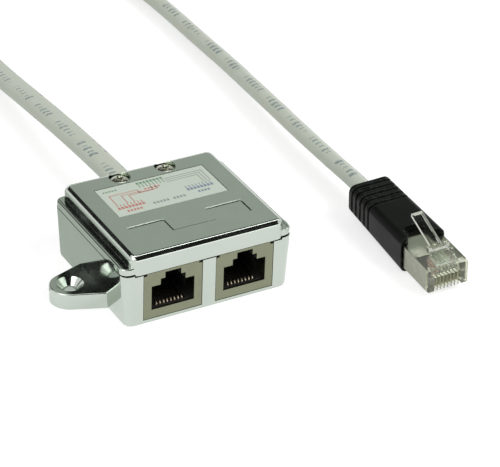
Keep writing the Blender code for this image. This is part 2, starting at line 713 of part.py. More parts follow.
def add_socket_shield(side, word):
    """A folded can, open to the board above, with two tabs bent in at the opening."""
    middle = side * SOCKET_PITCH / 2
    half = SOCKET_WIDTH / 2
    shield = add_part(f"jack_{word}_shield", box_mesh(
        (middle - half, SOCKET_FRONT, SOCKET_LOW), (middle + half, SOCKET_BACK, SOCKET_HIGH)), TINNED)
    cut(shield, f"shield_hollow_{word}", box_mesh(
        (middle - half + SHEET, SOCKET_FRONT + SHEET, SOCKET_LOW + SHEET),
        (middle + half - SHEET, SOCKET_BACK - SHEET, SOCKET_HIGH + PAST)))
    face = WINDOW_WIDTH / 2 - FACE_GAP
    face_top = SKIRT_Z - FACE_GAP
    join(shield, f"face_{word}", box_mesh(
        (middle - face, SOCKET_FRONT, WINDOW_SILL + FACE_GAP), (middle + face, SOCKET_FRONT + SHEET, face_top)))
    socket_opening(shield, middle, SOCKET_FRONT, SHEET + SEAT_GAP)
    for hand, name in ((-1, "a"), (1, "b")):
        corner = sorted((middle + hand * (face - FACE_NOTCH_WIDTH), middle + hand * (face + PAST)))
        cut(shield, f"face_notch_{word}_{name}", box_mesh(
            (corner[0], SOCKET_FRONT - PAST, face_top - FACE_NOTCH_HEIGHT),
            (corner[1], SOCKET_FRONT + SHEET, face_top + PAST)))
        edges = sorted((middle + hand * OPENING_WIDTH / 2, middle + hand * (OPENING_WIDTH / 2 + SHEET)))
        join(shield, f"tab_{word}_{name}", box_mesh(
            (edges[0], SOCKET_FRONT + SHEET / 2, OPENING_Z + TAB_LOW),
            (edges[1], SOCKET_FRONT + TAB_LENGTH, OPENING_Z + TAB_HIGH)))
    return shield


def add_socket_body(side, word):
    """The moulding inside the can, with the bed that the spring contacts sink into."""
    middle = side * SOCKET_PITCH / 2
    half = SOCKET_WIDTH / 2 - SHEET - SEAT_GAP
    body = add_part(f"jack_{word}_body", box_mesh(
        (middle - half, SOCKET_BODY_FRONT, SOCKET_LOW + SHEET + SEAT_GAP),
        (middle + half, SOCKET_BODY_BACK, SOCKET_HIGH)), BLACK)
    socket_opening(body, middle, SOCKET_BODY_FRONT, SOCKET_DEPTH)
    tab_room = OPENING_WIDTH + 2 * (SHEET + SEAT_GAP)
    cut(body, f"tab_room_{word}", box_mesh(
        (middle - tab_room / 2, SOCKET_BODY_FRONT - PAST, OPENING_Z + TAB_LOW - SEAT_GAP),
        (middle + tab_room / 2, SOCKET_FRONT + TAB_LENGTH + SEAT_GAP, OPENING_Z + TAB_HIGH + SEAT_GAP)))
    bed = (CONTACT_COUNT - 1) * CONTACT_PITCH + 2 * (CONTACT_RADIUS + CONTACT_BED_MARGIN)
    cut(body, f"contact_bed_{word}", box_mesh(
        (middle - bed / 2, CONTACT_ROOT_Y - CONTACT_RADIUS - FINE_GAP, OPENING_Z - CONTACT_BED),
        (middle + bed / 2, SOCKET_BODY_FRONT + OPENING_DEPTH - PAST / 2, OPENING_Z + PAST)))
    return body


def contact_path():
    """From the root, which is the hinge line, up a short leg, round a bend and back to the free end."""
    points = [(0.0, 0.0, 0.0)]
    for turn in CONTACT_BEND_TURNS:
        back = CONTACT_BEND * (1 + math.cos(math.pi * turn))
        points.append((0.0, back, CONTACT_LEG + CONTACT_BEND * math.sin(math.pi * turn)))
    points.append((0.0, CONTACT_SAG[0] * CONTACT_LENGTH, CONTACT_SAG[1] * CONTACT_RISE))
    points.append((0.0, CONTACT_LENGTH, CONTACT_RISE))
    return points


def add_socket_contacts(side, word):
    for i in range(CONTACT_COUNT):
        offset = (i - (CONTACT_COUNT - 1) / 2) * CONTACT_PITCH
        root = (side * SOCKET_PITCH / 2 + offset, CONTACT_ROOT_Y, CONTACT_ROOT_Z)
        add_wire(f"jack_{word}_contact_{i + 1}", contact_path(), CONTACT_RADIUS, GOLD, origin=root)


# Cable and its cores

def smooth_path(route, spacing):
    """Points at an even spacing along a smooth curve through the route's own points."""
    stations = [Vector(point) for point in route]
    padded = [2 * stations[0] - stations[1], *stations, 2 * stations[-1] - stations[-2]]
    fine = []
    steps = 12
    for p0, p1, p2, p3 in zip(padded, padded[1:], padded[2:], padded[3:]):
        for i in range(steps):
            t = i / steps
            fine.append(0.5 * (2 * p1 + (p2 - p0) * t + (2 * p0 - 5 * p1 + 4 * p2 - p3) * t ** 2
                               + (3 * p1 - p0 - 3 * p2 + p3) * t ** 3))
    fine.append(stations[-1])
    total = sum((b - a).length for a, b in zip(fine, fine[1:]))
    count = round(total / spacing)
    picked = [fine[0]]
    walked = 0.0
    for a, b in zip(fine, fine[1:]):
        step = (b - a).length
        while len(picked) < count and walked + step >= len(picked) * total / count:
            share = (len(picked) * total / count - walked) / step
            picked.append(a.lerp(b, share))
        walked += step
    picked.append(fine[-1])
    return picked


def cable_section(grow):
    """The cable's oval outline, as a closed curve that the cable is swept from."""
    radius = CABLE_THICKNESS / 2 + grow
    reach = (CABLE_WIDTH - CABLE_THICKNESS) / 2
    right = arc_points((reach, 0.0), radius, -math.pi / 2, math.pi / 2, CABLE_SECTION_STEPS)
    left = arc_points((-reach, 0.0), radius, math.pi / 2, 3 * math.pi / 2, CABLE_SECTION_STEPS)
    flat = bpy.data.curves.new("cable_section", "CURVE")
    flat.dimensions = "2D"
    flat.fill_mode = "NONE"
    outline = (right + left)[::-1]
    spline = flat.splines.new("POLY")
    spline.points.add(len(outline) - 1)
    for point, (x, y) in zip(spline.points, outline):
        point.co = (x, y, 0.0, 1.0)
    spline.use_cyclic_u = True
    made = bpy.data.objects.new("cable_section", flat)
    made.hide_render = True
    made.display_type = "WIRE"
    CUTTERS.objects.link(made)
    return made


def cable_curve(grow=0.0, extend=0.0):
    """The oval tube along the route. It turns about its own axis while it comes round."""
    path = smooth_path(CABLE_ROUTE, CABLE_POINT_SPACING)
    path[0] += (path[0] - path[1]).normalized() * extend
    path[-1] += (path[-1] - path[-2]).normalized() * extend
    tube = bpy.data.curves.new("cable", "CURVE")
    tube.dimensions = "3D"
    tube.twist_mode = "Z_UP"
    tube.bevel_mode = "OBJECT"
    tube.bevel_object = cable_section(grow)
    tube.use_fill_caps = True
    spline = tube.splines.new("POLY")
    spline.points.add(len(path) - 1)
    walked = 0.0
    start, end = CABLE_TWIST_SPAN
    for i, (point, place) in enumerate(zip(spline.points, path)):
        walked += (place - path[i - 1]).length if i else 0.0
        share = min(1.0, max(0.0, (walked - start) / (end - start)))
        point.co = (*place, 1.0)
        point.tilt = CABLE_TWIST * (3 * share ** 2 - 2 * share ** 3)
    return tube


def cable_room_mesh():
    """The room that the cable needs in what it passes through."""
    room = bpy.data.objects.new("cable_room", cable_curve(grow=SEAT_GAP, extend=SEAT_GAP))
    CUTTERS.objects.link(room)
    return evaluated_mesh(room)


def add_cable():
    tube = cable_curve()
    tube.materials.append(JACKET)
    cable = bpy.data.objects.new("cable", tube)
    PARTS.objects.link(cable)
    return cable


def add_board_wires():
    """Two rows of cores rise from the jacket's end to the board's underside."""
    top = BOARD_Z - SEAT_GAP
    start = CABLE_START_Y - SEAT_GAP
    for i in range(CONTACT_COUNT):
        column = i % BOARD_WIRE_COLUMNS
        row = i // BOARD_WIRE_COLUMNS
        x = (column - (BOARD_WIRE_COLUMNS - 1) / 2) * BOARD_WIRE_PITCH
        z = CABLE_EXIT_HEIGHT + (0.5 - row) * BOARD_WIRE_ROW
        rise_y = start - BOARD_WIRE_REACH - row * 2 * BOARD_WIRE_ROW
        spread = x * BOARD_WIRE_FAN
        bend = BOARD_WIRE_BEND * (1 - math.sqrt(0.5))
        points = [
            (x, start, z),
            (x, rise_y + BOARD_WIRE_BEND, z),
            ((x + spread) / 2, rise_y + bend, z + bend),
            (spread, rise_y, z + BOARD_WIRE_BEND),
            (spread, rise_y, top),
        ]
        add_wire(f"board_wire_{i + 1}", points, WIRE_RADIUS, CORE)


# Plug

def add_plug_pose():
    pose = bpy.data.objects.new("plug_pose", None)
    pose.location = PLUG_PLACE
    pose.rotation_euler = PLUG_TURN
    PARTS.objects.link(pose)
    return pose


def core_offset(i):
    return (i - (CONTACT_COUNT - 1) / 2) * CONTACT_PITCH


def add_plug_body(pose):
    """The clear moulding: nose collar, blade slots, bed for the cores and a hollow for the cable."""
    sleeve = SHEET + FINE_GAP
    body = add_part("plug_body", centred_box(
        PLUG_WIDTH, 0.0, PLUG_LENGTH, 0.0, PLUG_HEIGHT, corner=PLUG_EDGE, top=PLUG_EDGE), CLEAR, pose)
    for side, word in ((-1, "left"), (1, "right")):
        edges = sorted((side * (PLUG_WIDTH / 2 - sleeve), side * PLUG_WIDTH))
        cut(body, f"plug_side_{word}", box_mesh(
            (edges[0], PLUG_NOSE, -PAST), (edges[1], PLUG_LENGTH + PAST, PLUG_HEIGHT + PAST)), pose)
    cut(body, "plug_top", centred_box(
        PLUG_WIDTH, PLUG_WINDOW, PLUG_LENGTH + PAST, PLUG_HEIGHT - sleeve, PLUG_HEIGHT + PAST), pose)
    cut(body, "plug_under", centred_box(
        PLUG_WIDTH, PLUG_WINDOW, PLUG_LENGTH + PAST, -PAST, sleeve), pose)
    bed = (CONTACT_COUNT - 1) * CONTACT_PITCH + 2 * (PLUG_WIRE_RADIUS + FINE_GAP)
    cut(body, "wire_bed", centred_box(
        bed, WIRE_BED_START, CABLE_BED_START + PAST, WIRE_BED_HEIGHT, PLUG_HEIGHT - PLUG_ROOF), pose)
    cut(body, "cable_bed", centred_box(
        CABLE_BED_WIDTH, CABLE_BED_START, PLUG_LENGTH + PAST, PLUG_FLOOR, PLUG_HEIGHT - PLUG_ROOF), pose)
    slot = BLADE_WIDTH / 2 + FINE_GAP
    for i in range(CONTACT_COUNT):
        x = core_offset(i)
        cut(body, f"blade_slot_{i + 1}", box_mesh(
            (x - slot, -PAST, -PAST),
            (x + slot, BLADE_INSET + BLADE_LENGTH + FINE_GAP, WIRE_BED_HEIGHT + WIRE_RADIUS / 2)), pose)
    return body


def add_plug_shield(pose):
    """A sheet sleeve round the plug. In front only its two sides go on, up to the nose collar."""
    start = PLUG_NOSE + FINE_GAP
    end = PLUG_LENGTH - PLUG_SHIELD_END
    shield = add_part("plug_shield", centred_box(
        PLUG_WIDTH, start, end, 0.0, PLUG_HEIGHT), TINNED, pose)
    cut(shield, "sleeve_hollow", centred_box(
        PLUG_WIDTH - 2 * SHEET, start - PAST, end + PAST, SHEET, PLUG_HEIGHT - SHEET), pose)
    for word, low, high in (("top", PLUG_HEIGHT - 2 * SHEET, PLUG_HEIGHT + PAST), ("under", -PAST, 2 * SHEET)):
        cut(shield, f"sleeve_{word}", centred_box(
            PLUG_WIDTH - 2 * SHEET - FINE_GAP / 2, start - PAST, PLUG_WINDOW + FINE_GAP, low, high), pose)
    return shield


def add_plug_contacts(pose):
    for i in range(CONTACT_COUNT):
        x = core_offset(i)
        add_part(f"plug_contact_{i + 1}", box_mesh(
            (x - BLADE_WIDTH / 2, BLADE_INSET, BLADE_LIFT),
            (x + BLADE_WIDTH / 2, BLADE_INSET + BLADE_LENGTH, BLADE_LIFT + BLADE_HEIGHT)), GOLD, pose)


def add_plug_wires(pose):
    """Cores lie side by side over the blades, then stagger into two rows towards the cable."""
    bed = WIRE_BED_HEIGHT + FINE_GAP + PLUG_WIRE_RADIUS
    middle = (BOOT_BOTTOMS[1] + BOOT_TOPS[1]) / 2
    for i in range(CONTACT_COUNT):
        x = core_offset(i)
        lift = (1 if i % 2 else -1) * BOARD_WIRE_ROW / 2
        points = [
            (x, PLUG_WIRE_START, bed),
            (x, CABLE_BED_START, bed),
            (x * (1 + PLUG_WIRE_SPREAD) / 2, PLUG_LENGTH - 2 * BOOT_THROAT, (bed + middle + lift) / 2),
            (x * PLUG_WIRE_SPREAD, PLUG_LENGTH - PLUG_SHIELD_END, middle + lift),
            (x * PLUG_WIRE_SPREAD, PLUG_LENGTH + BOOT_THROAT, middle + lift),
        ]
        add_wire(f"plug_wire_{i + 1}", points, PLUG_WIRE_RADIUS, CORE, pose)


def latch_point(y, under=0.0):
    """A point of the lever's top line at y, or the given distance under it."""
    root = (LATCH_ROOT_Y, LATCH_ROOT_Z + LATCH_THICKNESS)
    first, second = (root, LATCH_SHOULDER) if y < LATCH_SHOULDER[0] else (LATCH_SHOULDER, LATCH_TIP)
    share = (y - first[0]) / (second[0] - first[0])
    return (y, first[1] + share * (second[1] - first[1]) - under)


def add_plug_latch(pose):
    """The lever that locks the plug. Its origin is on the hinge line at its root."""
    axis = (0.0, LATCH_ROOT_Y, LATCH_ROOT_Z)
    handle_start = LATCH_SHOULDER[0] + LATCH_SHOULDER_BACK
    outline = [
        (LATCH_ROOT_Y - LATCH_THICKNESS / 2, LATCH_ROOT_Z),
        (LATCH_ROOT_Y + LATCH_THICKNESS / 2, LATCH_ROOT_Z),
        latch_point(handle_start, LATCH_THICKNESS),
        latch_point(LATCH_TIP[0], LATCH_THICKNESS),
        latch_point(LATCH_TIP[0]),
        latch_point(LATCH_SHOULDER[0]),
        (LATCH_ROOT_Y - LATCH_THICKNESS / 2, LATCH_ROOT_Z + LATCH_THICKNESS),
    ]
    lever = side_profile_mesh(outline, LATCH_WIDTH)
    lever.transform(Matrix.Translation((0.0, -axis[1], -axis[2])))
    latch = add_part("plug_latch", lever, CLEAR, pose, origin=axis)
    for side, word in ((-1, "left"), (1, "right")):
        edges = sorted((side * LATCH_HANDLE_WIDTH / 2, side * LATCH_WIDTH))
        cut(latch, f"beside_handle_{word}", box_mesh(
            (edges[0], handle_start, LATCH_ROOT_Z),
            (edges[1], LATCH_TIP[0] + PAST, LATCH_TIP[1] + PAST)), pose)
    bar_start = LATCH_SHOULDER[0] - LATCH_BAR_LENGTH
    bar_low = LATCH_SHOULDER[1] - LATCH_THICKNESS
    join(latch, "latch_bar", centred_box(
        LATCH_WIDTH, bar_start, LATCH_SHOULDER[0], bar_low, LATCH_SHOULDER[1] + LATCH_BAR_HEIGHT), pose)
    for side, word in ((-1, "left"), (1, "right")):
        edges = sorted((side * (LATCH_WIDTH / 2 - LATCH_NUB_WIDTH), side * LATCH_WIDTH / 2))
        join(latch, f"latch_nub_{word}", box_mesh(
            (edges[0], bar_start, bar_low), (edges[1], handle_start, LATCH_SHOULDER[1] + LATCH_NUB_HEIGHT)), pose)
    for word, start, end, width in (
        ("handle", handle_start + LATCH_GROOVE_WALL, LATCH_TIP[0] - LATCH_GROOVE_WALL,
         LATCH_HANDLE_WIDTH - 2 * LATCH_GROOVE_WALL),
        ("shoulder", LATCH_ROOT_Y + LATCH_THICKNESS, LATCH_SHOULDER[0] - LATCH_GROOVE_WALL,
         LATCH_WIDTH - 2 * LATCH_GROOVE_WALL),
    ):
        groove = [
            latch_point(start, LATCH_GROOVE_DEPTH), latch_point(end, LATCH_GROOVE_DEPTH),
            latch_point(end, -PAST), latch_point(start, -PAST),
        ]
        cut(latch, f"latch_groove_{word}", side_profile_mesh(groove, width), pose)
    return latch


# Boot

def boot_ring(y, inset=0.0):
    """The boot's rounded outline at y, drawn in by an inset."""
    share = (y - BOOT_FRONT) / (BOOT_REAR - BOOT_FRONT)
    half = (BOOT_WIDTHS[0] + share * (BOOT_WIDTHS[1] - BOOT_WIDTHS[0])) / 2 - inset
    low = BOOT_BOTTOMS[0] + share * (BOOT_BOTTOMS[1] - BOOT_BOTTOMS[0]) + inset
    high = BOOT_TOPS[0] + share * (BOOT_TOPS[1] - BOOT_TOPS[0]) - inset
    ring = []
    for quarter, (x, z) in enumerate((
        (half - BOOT_CORNER, high - BOOT_CORNER), (-half + BOOT_CORNER, high - BOOT_CORNER),
        (-half + BOOT_CORNER, low + BOOT_CORNER), (half - BOOT_CORNER, low + BOOT_CORNER),
    )):
        start = quarter * math.pi / 2
        ring += arc_points((x, z), BOOT_CORNER, start, start + math.pi / 2, BOOT_CORNER_STEPS)
    return [(x, y, z) for x, z in ring]


def boot_rings():
    """Plain front, ribs that wrap round the rear, and a tail that is drawn in."""
    tail = BOOT_REAR - BOOT_TAIL
    rings = [boot_ring(BOOT_FRONT)]
    ribs_start = tail - BOOT_RIBS * BOOT_RIB_PITCH
    groove = BOOT_RIB_PITCH - BOOT_RIB_WIDTH
    for i in range(BOOT_RIBS):
        start = ribs_start + i * BOOT_RIB_PITCH
        slope = BOOT_RIB_DEPTH / 2
        rings += [
            boot_ring(start),
            boot_ring(start + slope, BOOT_RIB_DEPTH),
            boot_ring(start + groove - slope, BOOT_RIB_DEPTH),
            boot_ring(start + groove),
        ]
    rings += [boot_ring(tail), boot_ring(BOOT_REAR, BOOT_TAIL_SHRINK)]
    return rings


def latch_slot_outline():
    """The slot over the latch: round corners behind, and a mouth that opens round the two cheeks."""
    half = BOOT_SLOT_WIDTH / 2
    mouth = half + BOOT_CHEEK_RADIUS
    back = BOOT_FRONT + BOOT_SLOT_LENGTH
    cheek = arc_points((mouth, BOOT_FRONT + BOOT_CHEEK_RADIUS), BOOT_CHEEK_RADIUS,
                       -math.pi / 2, -math.pi, BOOT_CHEEK_STEPS)
    corner = arc_points((half - BOOT_SLOT_CORNER, back - BOOT_SLOT_CORNER), BOOT_SLOT_CORNER,
                        0.0, math.pi / 2, BOOT_CHEEK_STEPS)
    right = [(mouth, BOOT_FRONT - PAST), *cheek, *corner]
    return right + [(-x, y) for x, y in reversed(right)]


def add_boot(pose):
    boot = add_part("plug_boot", loft_mesh(boot_rings()), RUBBER, pose)
    half = PLUG_WIDTH / 2 + FINE_GAP
    cut(boot, "plug_pocket", box_mesh(
        (-half, BOOT_FRONT - PAST, -FINE_GAP),
        (half, PLUG_LENGTH + SEAT_GAP, PLUG_HEIGHT + FINE_GAP)), pose)
    cut(boot, "core_throat", centred_box(
        CABLE_BED_WIDTH, PLUG_LENGTH - PAST, PLUG_LENGTH + BOOT_THROAT + PAST,
        PLUG_FLOOR, PLUG_HEIGHT - FINE_GAP), pose)
    cut(boot, "latch_slot", outline_mesh(
        latch_slot_outline(), PLUG_HEIGHT - FINE_GAP, BOOT_TOPS[0] + PAST), pose)
    return boot


# Assembly

def build():
    base = add_base()
    cover = add_cover()
    add_label()
    add_board()
    for side, word in ((-1, "left"), (1, "right")):
        add_cover_screw(side, word)
        add_socket_shield(side, word)
        add_socket_body(side, word)
        add_socket_contacts(side, word)
    add_cable()
    add_board_wires()
    pose = add_plug_pose()
    add_plug_body(pose)
    add_plug_shield(pose)
    add_plug_contacts(pose)
    add_plug_wires(pose)
    add_plug_latch(pose)
    boot = add_boot(pose)
    room = add_tool("cable_room", cable_room_mesh())
    for piece in (base, cover, boot):
        combine(piece, room, "DIFFERENCE")


build()
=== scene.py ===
"""Looks of a network splitter box: plated casting, two sockets, captive cable and shielded plug."""
import json
import math

import bmesh
import bpy
from mathutils import Matrix, Vector

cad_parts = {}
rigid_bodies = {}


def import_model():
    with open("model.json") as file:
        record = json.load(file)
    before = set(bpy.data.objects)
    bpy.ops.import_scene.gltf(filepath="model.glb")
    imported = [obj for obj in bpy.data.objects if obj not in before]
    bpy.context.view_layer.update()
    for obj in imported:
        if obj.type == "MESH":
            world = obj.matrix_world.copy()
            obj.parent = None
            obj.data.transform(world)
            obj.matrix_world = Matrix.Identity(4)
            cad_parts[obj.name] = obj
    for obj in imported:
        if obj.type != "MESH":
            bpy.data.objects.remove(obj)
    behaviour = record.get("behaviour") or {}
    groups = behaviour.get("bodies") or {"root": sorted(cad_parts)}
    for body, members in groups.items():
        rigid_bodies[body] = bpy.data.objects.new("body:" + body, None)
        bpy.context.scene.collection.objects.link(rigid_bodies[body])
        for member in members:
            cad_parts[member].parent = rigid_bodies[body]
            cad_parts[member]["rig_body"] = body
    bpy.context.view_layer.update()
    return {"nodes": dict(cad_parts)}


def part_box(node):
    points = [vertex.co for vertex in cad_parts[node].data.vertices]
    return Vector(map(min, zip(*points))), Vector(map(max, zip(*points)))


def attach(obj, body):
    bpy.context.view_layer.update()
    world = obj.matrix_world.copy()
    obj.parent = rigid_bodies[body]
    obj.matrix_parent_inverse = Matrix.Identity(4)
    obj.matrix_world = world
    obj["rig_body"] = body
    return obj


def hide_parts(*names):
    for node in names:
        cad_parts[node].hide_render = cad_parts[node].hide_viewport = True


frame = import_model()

NODES = frame["nodes"]
MM = 0.001
SCENE = bpy.context.scene
SCENE.view_settings.view_transform = "Standard"

# Camera, as the photograph was taken
CAMERA_PLACE = Vector((-0.24225, -0.45686, 0.32714))
CAMERA_RIGHT = Vector((0.87414, -0.48457, 0.03266))
CAMERA_UP = Vector((0.22852, 0.46972, 0.85273))
CAMERA_BACK = Vector((-0.42855, -0.73794, 0.52134))
CAMERA_LENS = 170.10
SENSOR_WIDTH = 36.0
CAMERA_CLIP = (0.01, 20.0)

# Cable route in the order that it runs, repeated from the part's source
CABLE_ROUTE = [
    (0.0000, 0.0140, 0.0105), (0.0000, 0.0200, 0.0105), (0.0000, 0.0300, 0.0105),
    (0.0000, 0.0450, 0.0101), (0.0000, 0.0650, 0.0089), (0.0000, 0.0870, 0.0070),
    (0.0000, 0.1080, 0.0051), (0.0005, 0.1280, 0.0038), (0.0014, 0.1440, 0.0031),
    (0.0054, 0.1590, 0.0029), (0.0128, 0.1710, 0.0030), (0.0232, 0.1782, 0.0031),
    (0.0350, 0.1802, 0.0032), (0.0464, 0.1768, 0.0033), (0.0556, 0.1690, 0.0034),
    (0.0616, 0.1580, 0.0034), (0.0644, 0.1440, 0.0034), (0.0650, 0.1280, 0.0035),
    (0.0646, 0.1080, 0.0038), (0.0640, 0.0860, 0.0044), (0.0630, 0.0700, 0.0050),
    (0.0620, 0.0560, 0.0057), (0.0610, 0.0400, 0.0062), (0.0604, 0.0220, 0.0065),
    (0.0601, 0.0090, 0.0068), (0.0598, 0.0016, 0.0068), (0.0594, -0.0050, 0.0067),
    (0.0591, -0.0120, 0.0066), (0.0588, -0.0172, 0.0065),
]
CABLE_WIDTH = 7.1 * MM
CABLE_THICKNESS = 4.4 * MM
CABLE_TWIST = math.radians(-38)
CABLE_TWIST_SPAN = (0.12, 0.24)
CABLE_SIDES = 40
CABLE_RING_SPACING = 2.2 * MM
CABLE_STEPS = 24

# Plug frame: bottom centre of the nose, +Y back along the plug
PLUG_POSE = Matrix.LocRotScale(
    Vector((57.8, -41.9, 2.05)) * MM,
    Matrix.Rotation(math.radians(-3.0), 3, "Z") @ Matrix.Rotation(math.radians(-3.7), 3, "Y")
    @ Matrix.Rotation(math.radians(1.4), 3, "X"), None)


# Studio

AMBIENT = 0.5
FLOOR_GREY = 0.55
FLOOR_LIFT = 0.64
FLOOR_REACH = 4.0
FLOOR_LEVEL = -0.05 * MM
CARD_TINT = (0.93, 1.0, 0.92)
FLAG_LEVEL = 0.02


def add_camera():
    lens = bpy.data.cameras.new("camera")
    lens.lens = CAMERA_LENS
    lens.sensor_width = SENSOR_WIDTH
    lens.clip_start, lens.clip_end = CAMERA_CLIP
    camera = bpy.data.objects.new("camera", lens)
    turn = Matrix((CAMERA_RIGHT, CAMERA_UP, CAMERA_BACK)).transposed()
    camera.matrix_world = Matrix.Translation(CAMERA_PLACE) @ turn.to_4x4()
    SCENE.collection.objects.link(camera)
    SCENE.camera = camera


def shown_directly(tree):
    """1 for rays from the camera, off gloss and through clear parts, else 0."""
    path = tree.nodes.new("ShaderNodeLightPath")
    seen = math_node(tree, "MAXIMUM", path.outputs["Is Camera Ray"], path.outputs["Is Glossy Ray"])
    return math_node(tree, "MAXIMUM", seen, path.outputs["Is Transmission Ray"])


def add_world():
    world = bpy.data.worlds.new("studio")
    SCENE.world = world
    world.use_nodes = True
    tree = world.node_tree
    background = tree.nodes["Background"]
    background.inputs["Color"].default_value = (1.0, 1.0, 1.0, 1.0)
    tree.links.new(ramp(tree, shown_directly(tree), 0.0, 1.0, AMBIENT, 1.0), background.inputs["Strength"])


def stage_sheet(name, low, high, material):
    """A flat stage piece between two opposite corners that share one coordinate."""
    across, up = [axis for axis in range(3) if low[axis] != high[axis]]
    mesh = bpy.data.meshes.new(name)
    corners = []
    for far_across, far_up in ((0, 0), (1, 0), (1, 1), (0, 1)):
        corner = list(low)
        corner[across] = (low, high)[far_across][across]
        corner[up] = (low, high)[far_up][up]
        corners.append(corner)
    mesh.from_pydata(corners, [], [(0, 1, 2, 3)])
    mesh.materials.append(material)
    made = bpy.data.objects.new(name, mesh)
    SCENE.collection.objects.link(made)
    return made


def add_floor():
    material = bpy.data.materials.new("table_top")
    material.use_nodes = True
    tree = material.node_tree
    shader = tree.nodes["Principled BSDF"]
    shader.inputs["Base Color"].default_value = (FLOOR_GREY, FLOOR_GREY, FLOOR_GREY, 1.0)
    shader.inputs["Roughness"].default_value = 0.9
    shader.inputs["Specular IOR Level"].default_value = 0.0
    shader.inputs["Emission Color"].default_value = (1.0, 1.0, 1.0, 1.0)
    tree.links.new(math_node(tree, "MULTIPLY", shown_directly(tree), FLOOR_LIFT),
                   shader.inputs["Emission Strength"])
    stage_sheet("floor", (-FLOOR_REACH, -FLOOR_REACH, FLOOR_LEVEL), (FLOOR_REACH, FLOOR_REACH, FLOOR_LEVEL),
                material)


def add_card(name, low, high, level, fade=None, tint=(1.0, 1.0, 1.0)):
    """A card that only shows in gloss. A fade is an axis, two places on it and the first one's level."""
    material = bpy.data.materials.new(name)
    material.use_nodes = True
    tree = material.node_tree
    shader = tree.nodes["Principled BSDF"]
    shader.inputs["Base Color"].default_value = (0.0, 0.0, 0.0, 1.0)
    shader.inputs["Specular IOR Level"].default_value = 0.0
    shader.inputs["Emission Color"].default_value = (*tint, 1.0)
    shader.inputs["Emission Strength"].default_value = level
    if fade:
        axis, start, end, other = fade
        place = add(tree, "ShaderNodeSeparateXYZ", {0: object_place(tree)})
        glow = ramp(tree, place.outputs[axis], start, end, other, level, interpolation_type="SMOOTHSTEP")
        tree.links.new(glow, shader.inputs["Emission Strength"])
    card = stage_sheet(name, low, high, material)
    card.visible_camera = False
    card.visible_diffuse = False
    card.visible_transmission = False
    card.visible_shadow = False


def add_lamp(name, direction, distance, size, power):
    """A soft lamp. Its own shape doesn't show in gloss, where the cards stand for it."""
    lamp = bpy.data.lights.new(name, "AREA")
    lamp.shape = "RECTANGLE"
    lamp.size, lamp.size_y = size
    lamp.energy = power
    made = bpy.data.objects.new(name, lamp)
    away = Vector(direction).normalized()
    made.location = away * distance
    made.rotation_euler = away.to_track_quat("Z", "Y").to_euler()
    made.visible_glossy = False
    SCENE.collection.objects.link(made)


def add_studio():
    add_world()
    add_floor()
    add_lamp("key_lamp", (0.43, -0.52, 0.74), 1.3, (0.7, 0.5), 8.0)
    add_lamp("side_lamp", (-0.75, -0.25, 0.62), 1.4, (0.8, 0.8), 5.0)
    add_card("back_card", (0.10, 1.2, 0.55), (2.2, 1.2, 1.2), 0.54, fade=("X", 0.22, 0.58, FLAG_LEVEL),
             tint=CARD_TINT)
    add_card("back_flag", (-1.3, 1.2, 0.655), (0.10, 1.2, 1.2), FLAG_LEVEL)
    add_card("top_flag", (-0.2, 0.50, 1.2), (2.0, 1.2, 1.2), FLAG_LEVEL)
    add_card("strip_card", (-1.0, 0.25, 1.21), (1.6, 0.38, 1.21), 6.0)
    add_card("front_top_flag", (0.20, -1.2, 1.2), (1.05, 0.22, 1.2), FLAG_LEVEL)
    add_card("left_top_card", (-1.3, -0.95, 1.2), (-0.58, 0.1, 1.2), 3.0)
    add_card("left_side_card", (-1.3, -1.0, 0.55), (-1.3, -0.1, 1.2), 3.0)
    add_card("front_left_flag", (-0.58, -1.2, 1.2), (0.20, -0.15, 1.2), FLAG_LEVEL)
    add_card("front_flag", (-0.5, -1.2, 0.22), (1.0, -1.2, 1.2), FLAG_LEVEL)
    add_card("low_front_card", (-0.6, -1.25, 0.005), (2.0, -1.25, 0.215), 2.2)
    add_card("left_card", (-0.30, 0.004, 0.0003), (-0.0215, 0.30, 0.0003), 0.62, tint=CARD_TINT)


# Node helpers

def add(tree, kind, inputs=None, **settings):
    made = tree.nodes.new(kind)
    for key, value in settings.items():
        setattr(made, key, value)
    for key, value in (inputs or {}).items():
        if isinstance(value, bpy.types.NodeSocket):
            tree.links.new(value, made.inputs[key])
        else:
            made.inputs[key].default_value = value
    return made


def math_node(tree, operation, *values):
    return add(tree, "ShaderNodeMath", dict(enumerate(values)), operation=operation).outputs[0]


def ramp(tree, value, start, end, first=0.0, last=1.0, **settings):
    """A value carried from between start and end to between first and last, and kept there."""
    return add(tree, "ShaderNodeMapRange", {"Value": value, "From Min": start, "From Max": end,
                                            "To Min": first, "To Max": last}, **settings).outputs[0]


def object_place(tree):
    return tree.nodes.new("ShaderNodeTexCoord").outputs["Object"]


def new_group(name, inputs, outputs):
    """A shader group of plain numbers. Gives the tree, its input node and its output node."""
    tree = bpy.data.node_groups.new(name, "ShaderNodeTree")
    for label, default in inputs.items():
        socket = tree.interface.new_socket(label, in_out="INPUT", socket_type="NodeSocketFloat")
        socket.default_value = default
    for label in outputs:
        tree.interface.new_socket(label, in_out="OUTPUT", socket_type="NodeSocketFloat")
    return tree, tree.nodes.new("NodeGroupInput"), tree.nodes.new("NodeGroupOutput")


